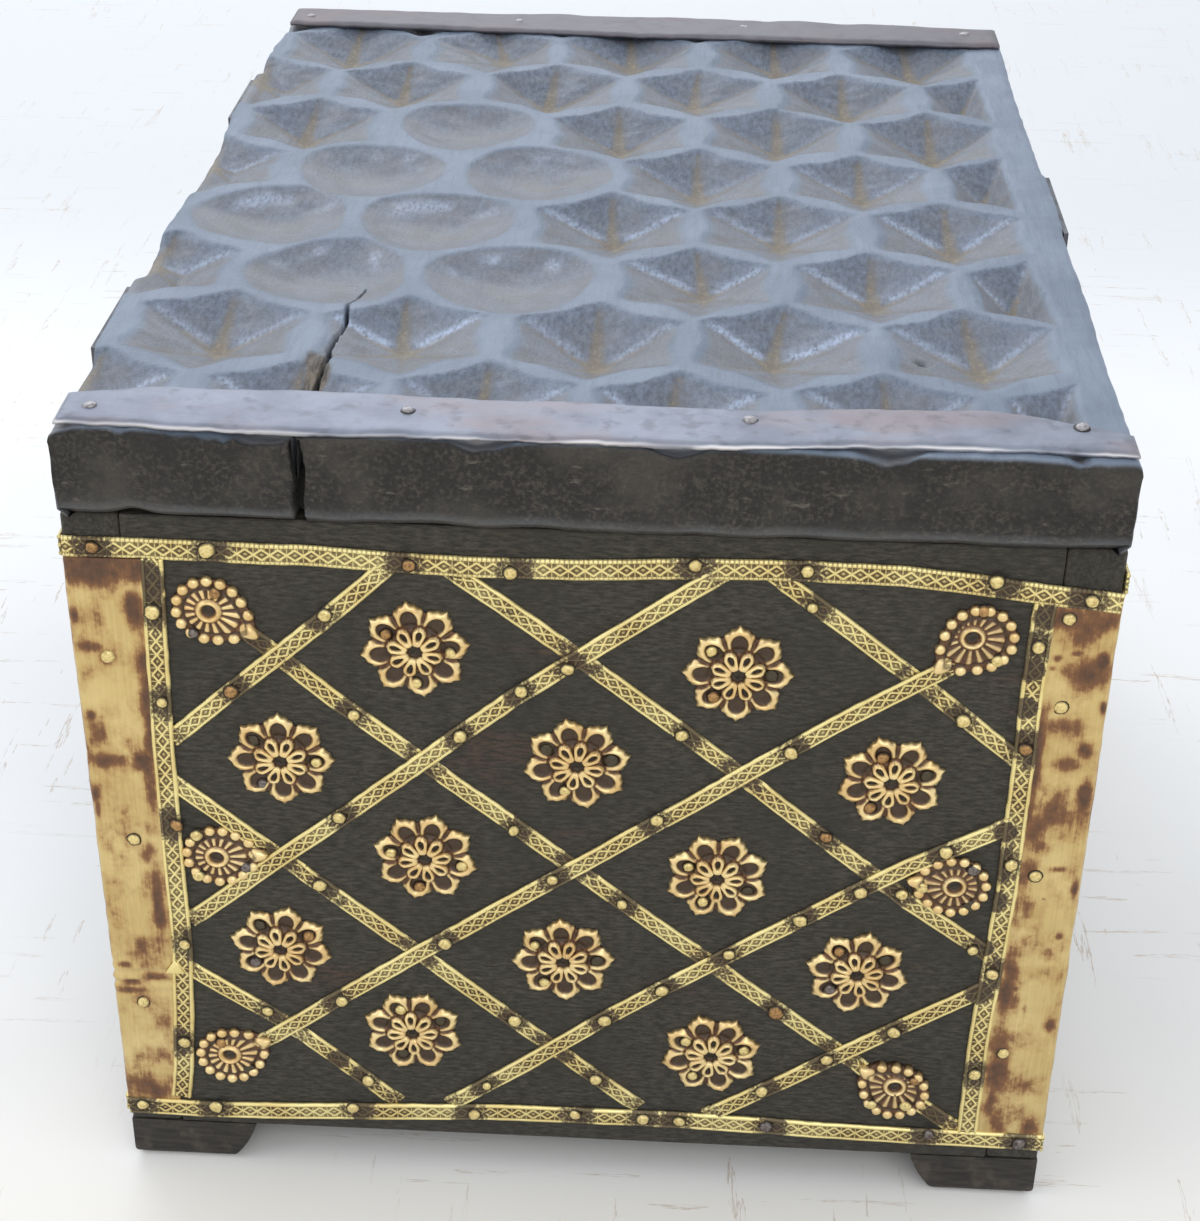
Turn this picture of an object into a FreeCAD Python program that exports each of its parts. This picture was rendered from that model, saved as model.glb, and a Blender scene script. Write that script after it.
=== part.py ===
import FreeCAD, Part
import math
import os

# A small brass-bound wooden chest of the damchiya kind, in millimetres.
# X runs from the hinged back (-X) to the hasp at the front (+X), Y along the length,
# Z up. The origin is on the floor under the middle of the chest.
# The end at -Y is the near end, whose fittings were laid by eye and keep their own places.

# Carcass
body_width = 230.0
body_length = 304.0
wall_height = 175.5
board = 13.0
floor_board = 10.0
foot_height = 12.5
foot_reach = 32.0
foot_corner = 3.0
foot_flare = 7.5
foot_arch_share = 0.36
joint_gap = 0.05

# Carved lid
lid_thickness = 22.0
lid_overhang = 4.0
seam = 0.4
pit_pitch = 44.0
pit_row_pitch = 36.8
pit_across = 40.5
pit_depth = 7.5
first_pit_row = 19.0
pit_shift = 2.2
plain_border = 10.0
scoop_across = 39.0
scoop_depth = 6.0
scoop_ring_shares = ((1.0, 0.0), (0.82, 0.45), (0.52, 0.83), (0.2, 1.0))
scoop_sides = 18
worn_pits = ((2, 1), (2, 2), (3, 0), (3, 1), (4, 1), (4, 2), (5, 1))

# Straps across the ends of the lid
lid_strap_width = 19.5
lid_strap_thickness = 1.2
lid_strap_corner = 9.0
lid_strap_corner_share = 0.33
lid_strap_nail_shares = (-0.88, -0.34, 0.29, 0.86)

# Flat brass on the sides
strip_width = 5.0
lattice_width = 4.6
strip_thickness = 0.8
sheet_thickness = 0.5
top_strip_drop = 5.7
bottom_strip_rise = 3.1
trim_gap = 0.2
side_strip_inset = 17.0

# Lattice cells, rosettes and drops
cell_pitch = 35.2
cell_rise = 28.0
rosette_radius = 12.3
rosette_notch_share = 0.83
rosette_rim_share = 0.78
rosette_boss_share = 0.45
rosette_height = 1.3
rosette_boss_height = 1.3
petals = 8
drop_radius = 8.6
drop_tip = 11.2
drop_height = 1.5
drop_inset = 12.0
drop_turn = 35.0
nail_radius = 1.5
nail_height = 0.8
nail_spacing = 36.0
nail_sides = 6
nail_margin = 4.5

# Hinges at the back
hinge_width = 36.0
hinge_near_inset = 60.0
hinge_far_inset = 81.0
hinge_leaf_thickness = 1.2
hinge_leaf_down = 26.0
hinge_leaf_rim = 2.4
hinge_knuckle_radius = 3.2
hinge_pin_radius = 1.4
hinge_face_gap = 0.2
knuckle_gap = 0.3
pin_clearance = 0.05
hinge_nail_shares = ((-0.33, 0.75, 0.72), (0.0, 0.5, 0.45), (0.33, 0.75, 0.72))

# Hasp and staple at the front
hasp_plate_width = 42.0
hasp_plate_thickness = 1.2
hasp_plate_rim = 1.6
hasp_knuckle_radius = 1.9
hasp_pin_radius = 0.85
hasp_axis_rise = 2.6
hasp_width = 16.0
hasp_thickness = 1.2
hasp_reach = 40.0
hasp_tail = 7.0
hasp_ajar = 9.0
hasp_nail_share = 0.6
slot_length = 11.0
slot_width = 5.0
staple_wire = 0.8
staple_sides = 8
staple_leg_gap = 5.6
staple_eye = 2.8
staple_depth = 9.0
staple_plate_width = 18.0
staple_plate_height = 24.0
staple_plate_thickness = 0.8
staple_hole_clearance = 0.1

overrun = 2.0

# Levels and half sizes worked out from the driving dimensions
half_width = body_width / 2
half_length = body_length / 2
wall_top = foot_height + wall_height
lid_under = wall_top + seam
lid_top = lid_under + lid_thickness
lid_half_length = half_length + lid_overhang
pit_limit = half_width - plain_border
strip_top = wall_top - top_strip_drop
strip_foot = foot_height + bottom_strip_rise
panel_top = strip_top - strip_width - trim_gap
panel_foot = strip_foot + strip_width + trim_gap
panel_middle = (panel_top + panel_foot) / 2
hinge_offset = hinge_knuckle_radius + hinge_face_gap
hinge_x = -half_width - hinge_offset
hinge_z = wall_top + seam / 2
hasp_offset = hasp_knuckle_radius + knuckle_gap
hasp_x = half_width + hasp_offset
hasp_z = lid_under + hasp_axis_rise
staple_z = hasp_z - hasp_reach

# Places of the hand-laid fittings on the near end, as shares of half the width and of the panel's height
near_strip_shares = ((-0.833, -0.878), (0.858, 0.842))
near_top_shares = ((-1.0, 0.0), (-0.3, -0.25), (0.1, -0.2), (0.4, 0.0), (0.7, -0.1), (1.0, -0.85))
level_top_shares = ((-1.0, 0.0), (1.0, 0.0))
near_rising_shares = (
    ((-0.843, 0.686), (-0.343, 1.015)),
    ((-0.850, 0.360), (0.244, 1.005)),
    ((-0.689, 0.123), (0.687, 0.889)),
    ((-0.320, 0.004), (0.862, 0.617)),
    ((0.240, 0.005), (0.855, 0.301)),
)
near_falling_shares = (
    ((0.332, 1.020), (0.858, 0.701)),
    ((-0.292, 1.012), (0.852, 0.348)),
    ((-0.665, 0.895), (0.817, 0.003)),
    ((-0.853, 0.649), (0.149, 0.008)),
    ((-0.862, 0.287), (-0.375, 0.000)),
)
near_rosette_shares = (
    (-0.333, 0.869), (0.290, 0.850), (-0.609, 0.672), (-0.018, 0.685), (0.603, 0.676), (-0.326, 0.505),
    (0.270, 0.491), (-0.637, 0.321), (-0.043, 0.319), (0.570, 0.319), (-0.364, 0.163), (0.275, 0.143),
)
# Each drop: place across and up, then the bearing of its tip in degrees
near_drop_shares = (
    (-0.729, 0.923, -30.3), (0.744, 0.923, -137.1), (-0.753, 0.491, 5.4),
    (0.749, 0.491, 172.9), (-0.765, 0.095, 30.3), (0.673, 0.086, 140.0),
)

parts = {}


def keep(name, *solids):
    parts[name] = solids[0] if len(solids) == 1 else Part.makeCompound(list(solids))


def box(x0, y0, z0, x1, y1, z1):
    return Part.makeBox(x1 - x0, y1 - y0, z1 - z0, FreeCAD.Vector(x0, y0, z0))


def near_point(u, v, out):
    return FreeCAD.Vector(u, -half_length - out, v)


def far_point(u, v, out):
    return FreeCAD.Vector(u, half_length + out, v)


def front_point(u, v, out):
    return FreeCAD.Vector(half_width + out, u, v)


def back_point(u, v, out):
    return FreeCAD.Vector(-half_width - out, u, v)


def lid_front_point(u, v, out):
    return FreeCAD.Vector(half_width + out, u, lid_under + v)


def top_point(u, v, out):
    return FreeCAD.Vector(u, v, lid_top + out)


def slab(place, outline, low, high):
    """A flat piece: an outline on a face, from one distance off the face to another."""
    ring = [place(u, v, low) for u, v in outline]
    face = Part.Face(Part.makePolygon(ring + ring[:1]))
    return face.extrude(place(0, 0, high) - place(0, 0, low))


def hull(place, low_ring, high_ring, low, high):
    """A piece with straight sides between two outlines of as many corners."""
    under = [place(u, v, low) for u, v in low_ring]
    over = [place(u, v, high) for u, v in high_ring]
    around = range(len(under))
    sides = []
    for i in around:
        j = (i + 1) % len(under)
        sides.append([under[i], under[j], over[j], over[i]])
    faces = [Part.Face(Part.makePolygon(side + side[:1])) for side in [under, over] + sides]
    return Part.makeSolid(Part.makeShell(faces))


def spire(place, ring, tip, low, high):
    """A pyramid from an outline at one distance off the face to a point at another."""
    base = [place(u, v, low) for u, v in ring]
    apex = place(tip[0], tip[1], high)
    faces = [Part.Face(Part.makePolygon(base + base[:1]))]
    for i, corner in enumerate(base):
        side = [corner, base[(i + 1) % len(base)], apex]
        faces.append(Part.Face(Part.makePolygon(side + side[:1])))
    return Part.makeSolid(Part.makeShell(faces))


def ring_of(u, v, radius, count, turn=0.0):
    angles = [math.radians(turn + 360.0 * i / count) for i in range(count)]
    return [(u + radius * math.cos(a), v + radius * math.sin(a)) for a in angles]


def rectangle(u0, v0, u1, v1):
    return [(u0, v0), (u1, v0), (u1, v1), (u0, v1)]


def scaled(ring, u, v, factor):
    return [(u + (a - u) * factor, v + (b - v) * factor) for a, b in ring]


def bar(start, end, width):
    """The outline of a straight strip along a line."""
    run = math.hypot(end[0] - start[0], end[1] - start[1])
    across_u = -(end[1] - start[1]) / run * width / 2
    across_v = (end[0] - start[0]) / run * width / 2
    return [
        (start[0] + across_u, start[1] + across_v),
        (end[0] + across_u, end[1] + across_v),
        (end[0] - across_u, end[1] - across_v),
        (start[0] - across_u, start[1] - across_v),
    ]


def joined(solids):
    whole = solids[0]
    for solid in solids[1:]:
        whole = whole.fuse(solid)
    return whole.removeSplitter()


def cylinder_y(radius, x, y0, y1, z):
    return Part.makeCylinder(radius, y1 - y0, FreeCAD.Vector(x, y0, z), FreeCAD.Vector(0, 1, 0))


# Carcass: two long boards, two end boards between them, and a floor board inside all four

def wall_board(x0, y0, x1, y1):
    return box(x0, y0, foot_height, x1, y1, wall_top)


def staple_legs(radius):
    """The two legs of the staple, as cylinders driven into the front board."""
    legs = []
    for side in (-1, 1):
        at = FreeCAD.Vector(half_width - staple_depth, 0, staple_z + side * staple_leg_gap / 2)
        depth = staple_depth + staple_plate_thickness
        legs.append(Part.makeCylinder(radius, depth, at, FreeCAD.Vector(1, 0, 0)))
    return legs


def make_carcass():
    front = wall_board(half_width - board, -half_length, half_width, half_length)
    for leg in staple_legs(staple_wire + joint_gap):
        front = front.cut(leg)
    keep("front_board", front)
    keep("back_board", wall_board(-half_width, -half_length, -half_width + board, half_length))
    inner = half_width - board - joint_gap
    keep("end_board_near", wall_board(-inner, -half_length, inner, -half_length + board))
    keep("end_board_far", wall_board(-inner, half_length - board, inner, half_length))
    run = half_length - board - joint_gap
    keep("bottom_board", box(-inner, -run, foot_height, inner, run, foot_height + floor_board))


def foot_profile(reach):
    """A bracket foot from the side: rounded at the outer toe, flaring into the rail inside."""
    toe = foot_corner
    eased = toe * (1 - math.sin(math.pi / 4))
    waist = (reach - foot_flare / 2, foot_height * foot_arch_share)
    return [
        ("line", (0, foot_height), (0, toe)),
        ("arc", (0, toe), (eased, eased), (toe, 0)),
        ("line", (toe, 0), (reach - foot_flare, 0)),
        ("arc", (reach - foot_flare, 0), waist, (reach, foot_height)),
        ("line", (reach, foot_height), (0, foot_height)),
    ]


def foot(side_x, side_y):
    """The shape shared by the foot's two side profiles, so it curves on both faces."""
    def swept(corner, along, across):
        edges = []
        for kind, *points in foot_profile(foot_reach):
            places = [corner + along * a + FreeCAD.Vector(0, 0, b) for a, b in points]
            if kind == "arc":
                edges.append(Part.Arc(*places).toShape())
            else:
                edges.append(Part.makeLine(*places))
        return Part.Face(Part.Wire(edges)).extrude(across * foot_reach)

    corner = FreeCAD.Vector(side_x * half_width, side_y * half_length, 0)
    inward_x = FreeCAD.Vector(-side_x, 0, 0)
    inward_y = FreeCAD.Vector(0, -side_y, 0)
    return swept(corner, inward_x, inward_y).common(swept(corner, inward_y, inward_x))


def make_feet():
    for end, side_y in (("near", -1), ("far", 1)):
        for face, side_x in (("front", 1), ("back", -1)):
            keep("foot_" + end + "_" + face, foot(side_x, side_y))


# Flat brass: strips round the edge of each side, sheet on the corners, and the lattice between

def side_strips(half, leans):
    """The lines of the two upright strips: each has its place at the top and at the foot."""
    return [((half * top, panel_top), (half * low, panel_foot)) for top, low in leans]


def even_leans(half):
    inset = (half - side_strip_inset - strip_width / 2) / half
    return ((-inset, -inset), (inset, inset))


def sheet_outline(half, line, side):
    """The part of a corner sheet that lies on one side of the chest, up to its upright strip."""
    gap = side * (strip_width / 2 + trim_gap)
    (top_u, top_v), (low_u, low_v) = line
    return [(side * half, top_v), (top_u + gap, top_v), (low_u + gap, low_v), (side * half, low_v)]


def crossing(first, second):
    """Where two lines on a face meet."""
    (ax, ay), (bx, by) = first
    (cx, cy), (dx, dy) = second
    bottom = (bx - ax) * (dy - cy) - (by - ay) * (dx - cx)
    t = ((cx - ax) * (dy - cy) - (cy - ay) * (dx - cx)) / bottom
    return (ax + (bx - ax) * t, ay + (by - ay) * t)


def regular_lines(half, slope, phase):
    """Lattice lines of one slope across a side, through the corners of its cells."""
    run = half + panel_top - panel_foot
    rise = slope * cell_rise / cell_pitch * run
    steps = int(run / cell_pitch) + 1
    lines = []
    for k in range(-steps, steps + 1):
        if (k + phase) % 2 == 0:
            middle = k * cell_pitch
            lines.append(((middle - run, panel_middle - rise), (middle + run, panel_middle + rise)))
    return lines


def laid_lines(half, shares):
    """Hand-laid lattice lines, from shares of the half width and of the panel's height."""
    height = panel_top - panel_foot
    return [tuple((half * a, panel_foot + height * b) for a, b in ends) for ends in shares]


def make_corner_sheets(sides):
    """An L of thin sheet round each corner, between the top and bottom strips."""
    for end, side_y in (("near", -1), ("far", 1)):
        for face, side_x in (("front", 1), ("back", -1)):
            flaps = []
            for side, sign, wrap in ((sides[end], side_x, 0), (sides[face], side_y, sheet_thickness)):
                line = side["uprights"][(sign + 1) // 2]
                outline = sheet_outline(side["half"] + wrap, line, sign)
                flap = slab(side["place"], outline, 0, sheet_thickness)
                flaps.append(flap.common(under_top(side)))
            keep("corner_sheet_" + end + "_" + face, joined(flaps))


def top_line(side):
    """The middle of the top strip: level, but for the sag laid into the near end's."""
    half = side["half"] + side["wrap"]
    middle = strip_top - strip_width / 2
    return [(half * share, middle + strip_width * sag) for share, sag in side["top_shares"]]


def offset_line(points, rise):
    return [(u, v + rise) for u, v in points]


def top_strip_outline(side):
    line = top_line(side)
    return offset_line(line, strip_width / 2) + offset_line(line, -strip_width / 2)[::-1]


def under_top(side):
    """All that lies under the top strip of a side, as a solid to trim its fittings with."""
    edge = offset_line(top_line(side), -strip_width / 2 - trim_gap)
    low = [(edge[-1][0] + overrun, 0), (edge[0][0] - overrun, 0)]
    wide = [(edge[0][0] - overrun, edge[0][1])] + edge[1:-1] + [(edge[-1][0] + overrun, edge[-1][1])]
    return slab(side["place"], wide + low, -overrun, overrun + strip_thickness)


def panel_corners(side):
    """The field inside the strips of a side, which the lattice fills."""
    inset = strip_width / 2 + trim_gap
    left = [(u + inset, v) for u, v in side["uprights"][0]]
    right = [(u - inset, v) for u, v in side["uprights"][1]]
    edge = offset_line(top_line(side), -inset)
    return [left[1], left[0], *edge[1:-1], crossing(edge[-2:], right), right[1]]


def make_border(name, side, breaks):
    """The strips round the edge of a side; the top one stops short of whatever breaks it."""
    place = side["place"]
    half = side["half"] + side["wrap"]
    top = slab(place, top_strip_outline(side), 0, strip_thickness)
    for low, high in breaks:
        hole = rectangle(low, strip_foot, high, wall_top)
        top = top.cut(slab(place, hole, -overrun, strip_thickness + overrun))
    keep(name + "_top_strip", *top.Solids)
    bottom = rectangle(-half, strip_foot, half, strip_foot + strip_width)
    keep(name + "_bottom_strip", slab(place, bottom, 0, strip_thickness))
    uprights = []
    for line in side["uprights"]:
        outline = [(u - strip_width / 2, v) for u, v in line]
        outline += [(u + strip_width / 2, v) for u, v in line[::-1]]
        uprights.append(slab(place, outline, 0, strip_thickness).common(under_top(side)))
    keep(name + "_upright_strips", *uprights)


def held_shares(line, corners):
    """Where a line enters and leaves a convex outline, as shares of its length."""
    (ax, ay), (bx, by) = line
    enter, leave = 0.0, 1.0
    middle_u = sum(u for u, v in corners) / len(corners)
    middle_v = sum(v for u, v in corners) / len(corners)
    for i, (px, py) in enumerate(corners):
        qx, qy = corners[(i + 1) % len(corners)]
        normal_u = qy - py
        normal_v = px - qx
        facing = math.copysign(1.0, normal_u * (middle_u - px) + normal_v * (middle_v - py))
        start = facing * (normal_u * (ax - px) + normal_v * (ay - py))
        run = facing * (normal_u * (bx - ax) + normal_v * (by - ay))
        if run > 0:
            enter = max(enter, -start / run)
        elif run < 0:
            leave = min(leave, -start / run)
        elif start < 0:
            leave = enter
    return enter, max(enter, leave)


def clip(line, corners):
    """The length of a line that lies inside a convex outline."""
    (ax, ay), (bx, by) = line
    return tuple((ax + (bx - ax) * t, ay + (by - ay) * t) for t in held_shares(line, corners))


def inside(at, margin, corners):
    """Whether a point lies in a convex outline with some margin to its left and right."""
    level = ((at[0] - margin, at[1]), (at[0] + margin, at[1]))
    return held_shares(level, corners) == (0.0, 1.0)


def length(line):
    return math.dist(line[0], line[1])


def along(line, distance):
    share = distance / length(line)
    return tuple(a + (b - a) * share for a, b in zip(*line))


def drop_ring(drop, growth=0.0):
    """A drop: most of a circle, drawn out to a tip."""
    u, v, bearing = drop
    arc = [(drop_radius + growth, bearing + angle) for angle in range(60, 301, 30)]
    polar = arc + [(drop_tip + growth, bearing)]
    return [(u + r * math.cos(math.radians(a)), v + r * math.sin(math.radians(a))) for r, a in polar]


def make_lattice(name, side):
    """Two layers of strips: the falling ones lie on the wood and the rising ones step over them."""
    place = side["place"]
    past = overrun + strip_thickness * 2
    window = slab(place, panel_corners(side), -overrun, past)
    stops = [slab(place, drop_ring(drop, trim_gap), -overrun, past) for drop in side["drops"]]
    chip = strip_thickness * lattice_width * lattice_width

    def trimmed(strip):
        strip = strip.common(window)
        for stop in stops:
            strip = strip.cut(stop)
        return [piece for piece in strip.Solids if piece.Volume > chip]

    under = []
    for line in side["falling"]:
        under += trimmed(slab(place, bar(*line, lattice_width), 0, strip_thickness))
    over = []
    step = lattice_width + trim_gap * 2
    for line in side["rising"]:
        low = slab(place, bar(*line, lattice_width), 0, strip_thickness)
        high = []
        for other in side["falling"]:
            low = low.cut(slab(place, bar(*other, step), -overrun, strip_thickness + overrun))
            bridge = slab(place, bar(*line, lattice_width), strip_thickness, strip_thickness * 2)
            wide = bar(*other, step + strip_thickness * 2)
            high.append(bridge.common(slab(place, wide, -overrun, past)))
        over += trimmed(joined([low] + [piece for piece in high if piece.Solids]))
    keep(name + "_lattice_under", *under)
    keep(name + "_lattice_over", *over)


def rosette(place, u, v):
    """Eight petals round a raised middle."""
    outline = []
    for i in range(petals * 2):
        radius = rosette_radius * (rosette_notch_share if i % 2 else 1)
        angle = math.pi * i / petals
        outline.append((u + radius * math.cos(angle), v + radius * math.sin(angle)))
    rim = scaled(outline, u, v, rosette_rim_share)
    plate = hull(place, outline, rim, 0, rosette_height)
    ring = ring_of(u, v, rosette_radius * rosette_boss_share, petals)
    return plate.fuse(spire(place, ring, (u, v), rosette_height, rosette_height + rosette_boss_height))


def drop(place, at):
    outline = drop_ring(at)
    return hull(place, outline, scaled(outline, at[0], at[1], rosette_rim_share), 0, drop_height)


def nail(place, u, v, seat):
    return spire(place, ring_of(u, v, nail_radius, nail_sides), (u, v), seat, seat + nail_height)


def spread(start, end, spacing):
    """Evenly spaced points along a line, half a space in from its ends."""
    count = max(1, round(length((start, end)) / spacing))
    return [tuple(a + (b - a) * (i + 0.5) / count for a, b in zip(start, end)) for i in range(count)]


def side_nails(side, breaks):
    """Nail heads of a side: each place with the layer of brass that it stands on."""
    half = side["half"]
    found = []
    line = top_line(side)
    for start, end in zip(line, line[1:]):
        found += [(u, v, strip_thickness) for u, v in spread(start, end, nail_spacing)]
    clear = nail_radius * 2
    found = [n for n in found if not any(low - clear < n[0] < high + clear for low, high in breaks)]
    middle = strip_foot + strip_width / 2
    found += [(u, v, strip_thickness) for u, v in spread((-half, middle), (half, middle), nail_spacing)]
    for sign, upright in zip((-1, 1), side["uprights"]):
        found += [(u, v, strip_thickness) for u, v in spread(*upright, nail_spacing)]
        for u, v in spread(*upright, nail_spacing * 2):
            found.append(((u + sign * half) / 2, v, sheet_thickness))
    return found


def lattice_nails(side):
    """A nail at each crossing, on top of both strips, and one near each end of a strip."""
    corners = panel_corners(side)
    found = []
    crossings = []
    for rising in side["rising"]:
        for falling in side["falling"]:
            at = crossing(rising, falling)
            if inside(at, nail_margin, corners):
                crossings.append(at)
    for line in side["rising"] + side["falling"]:
        kept = clip(line, corners)
        if length(kept) > nail_margin * 4:
            for end in (nail_margin, length(kept) - nail_margin):
                at = along(kept, end)
                if all(math.dist(at, other) > nail_margin for other in crossings):
                    found.append((*at, strip_thickness))
    found += [(*at, strip_thickness * 2) for at in crossings]
    reach = drop_tip + nail_radius
    return [n for n in found if all(math.dist(n[:2], d[:2]) > reach for d in side["drops"])]


def describe_sides():
    """The four sides: where each lies, and the places of the fittings on it."""
    height = panel_top - panel_foot
    sides = {
        "near": {"place": near_point, "half": half_width, "wrap": 0},
        "far": {"place": far_point, "half": half_width, "wrap": 0},
        "front": {"place": front_point, "half": half_length, "wrap": strip_thickness},
        "back": {"place": back_point, "half": half_length, "wrap": strip_thickness},
    }
    for side in sides.values():
        side["top_shares"] = level_top_shares
        side["uprights"] = side_strips(side["half"], even_leans(side["half"]))
    near = sides["near"]
    near["top_shares"] = near_top_shares
    near["uprights"] = side_strips(half_width, near_strip_shares)
    near["rising"] = laid_lines(half_width, near_rising_shares)
    near["falling"] = laid_lines(half_width, near_falling_shares)
    near["rosettes"] = [(half_width * a, panel_foot + height * b) for a, b in near_rosette_shares]
    near["drops"] = [(half_width * a, panel_foot + height * b, turn) for a, b, turn in near_drop_shares]
    for name, phase in (("far", 0), ("front", 1)):
        lay_regular(sides[name], phase)
    return sides


def lay_regular(side, phase):
    """An even lattice, with a rosette in each whole cell and a drop in each corner and at mid height."""
    inner = side["half"] - side_strip_inset - strip_width
    side["rising"] = regular_lines(side["half"], 1, phase)
    side["falling"] = regular_lines(side["half"], -1, phase)
    across = inner - drop_inset
    side["drops"] = []
    for sign, bearing in ((-1, 0), (1, 180)):
        side["drops"].append((sign * across, panel_middle, bearing))
        side["drops"].append((sign * across, panel_top - drop_inset, bearing + sign * drop_turn))
        side["drops"].append((sign * across, panel_foot + drop_inset, bearing - sign * drop_turn))
    side["rosettes"] = []
    clear = rosette_radius + drop_tip + trim_gap
    height = (panel_top - panel_foot) / 2
    for i in range(-int(inner / cell_pitch), int(inner / cell_pitch) + 1):
        for j in range(-int(height / cell_rise), int(height / cell_rise) + 1):
            at = (i * cell_pitch, panel_middle + j * cell_rise)
            whole = abs(at[0]) + rosette_radius < inner and abs(j) * cell_rise + rosette_radius < height
            apart = all(math.dist(at, drop_at[:2]) > clear for drop_at in side["drops"])
            if (i + j + phase) % 2 and whole and apart:
                side["rosettes"].append(at)


def make_sides():
    sides = describe_sides()
    hinges = [(c - hinge_width / 2 - trim_gap, c + hinge_width / 2 + trim_gap) for c in hinge_middles()]
    make_corner_sheets(sides)
    for name, side in sides.items():
        breaks = hinges if name == "back" else []
        make_border(name, side, breaks)
        nails = side_nails(side, breaks)
        if name != "back":
            make_lattice(name, side)
            spots = side["rosettes"]
            if name == "front":
                spots = [s for s in spots if math.dist(s, (0, staple_z)) > cell_pitch / 2]
            keep(name + "_rosettes", *[rosette(side["place"], u, v) for u, v in spots])
            keep(name + "_drops", *[drop(side["place"], at) for at in side["drops"]])
            nails += lattice_nails(side)
        keep(name + "_nails", *[nail(side["place"], *n) for n in nails])


# Lid: one board carved with hexagonal pits, some worn to round scoops, and a strap across each end

def pit_places():
    """Each pit's row, its column and its middle; every other row is shifted half a pitch."""
    places = []
    rows = math.ceil((lid_half_length * 2 - first_pit_row + pit_across / 2) / pit_row_pitch)
    for row in range(rows):
        v = first_pit_row - lid_half_length + row * pit_row_pitch
        shift = -pit_shift + (pit_pitch / 2 if row % 2 == 0 else 0)
        left = math.ceil((-half_width - shift) / pit_pitch)
        right = math.floor((pit_limit + pit_across / 4 - shift) / pit_pitch)
        for column, step in enumerate(range(left, right + 1)):
            places.append((row, column, shift + step * pit_pitch, v))
    return places


def pit_cutter(u, v):
    """A six-sided pit, a point to each end of the lid; the plain border cuts the last ones short."""
    hexagon = ring_of(u, v, pit_across / math.sqrt(3), 6, 30)
    mouth = []
    for (au, av), (bu, bv) in zip(hexagon, hexagon[1:] + hexagon[:1]):
        if au <= pit_limit:
            mouth.append((au, av))
        if (au - pit_limit) * (bu - pit_limit) < 0:
            mouth.append((pit_limit, av + (bv - av) * (pit_limit - au) / (bu - au)))
    kept_share = min(1.0, (pit_limit - u + pit_across / 2) / pit_across)
    middle = u if kept_share == 1.0 else sum(a for a, b in mouth) / len(mouth)
    depth = pit_depth * (kept_share + 1) / 2
    wider = scaled(mouth, middle, v, (depth + overrun) / depth)
    return spire(top_point, wider, (middle, v), overrun, -depth)


def scoop_cutter(u, v):
    """A worn pit: a shallow bowl of flat facets, level at its bottom."""
    rings = []
    for across_share, depth_share in scoop_ring_shares:
        ring = ring_of(u, v, scoop_across / 2 * across_share, scoop_sides)
        rings.append((ring, -scoop_depth * depth_share))
    bowl = slab(top_point, rings[0][0], 0, overrun)
    for (wide, high), (narrow, low) in zip(rings, rings[1:]):
        bowl = bowl.fuse(hull(top_point, narrow, wide, low, high))
    return bowl


def lid_strap(side):
    """A flat strap across one end of the lid, its inner corners rounded off."""
    edge = side * lid_half_length
    inner = edge - side * lid_strap_width
    eased = inner + side * lid_strap_corner * lid_strap_corner_share
    straight = half_width - lid_strap_corner
    left = [(-half_width, edge), (-half_width, eased), (-straight, inner)]
    right = [(straight, inner), (half_width, eased), (half_width, edge)]
    return slab(top_point, left + right, 0, lid_strap_thickness)


def make_lid():
    board_solid = box(-half_width, -lid_half_length, lid_under, half_width, lid_half_length, lid_top)
    for row, column, u, v in pit_places():
        cutter = scoop_cutter(u, v) if (row, column) in worn_pits else pit_cutter(u, v)
        board_solid = board_solid.cut(cutter)
    keep("lid_board", board_solid)
    nails = []
    for name, side in (("near", -1), ("far", 1)):
        keep("lid_strap_" + name, lid_strap(side))
        v = side * (lid_half_length - lid_strap_width / 2)
        for share in lid_strap_nail_shares:
            nails.append(nail(top_point, half_width * share, v, lid_strap_thickness))
    keep("lid_strap_nails", *nails)


# Hinges: nailed leaves with rolled knuckles on the back, and a pin through each pair

def hinge_middles():
    return (-half_length + hinge_near_inset, half_length - hinge_far_inset)


def leaf(x0, x1, y0, z0, y1, z1):
    return box(min(x0, x1), y0, z0, max(x0, x1), y1, z1)


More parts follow.
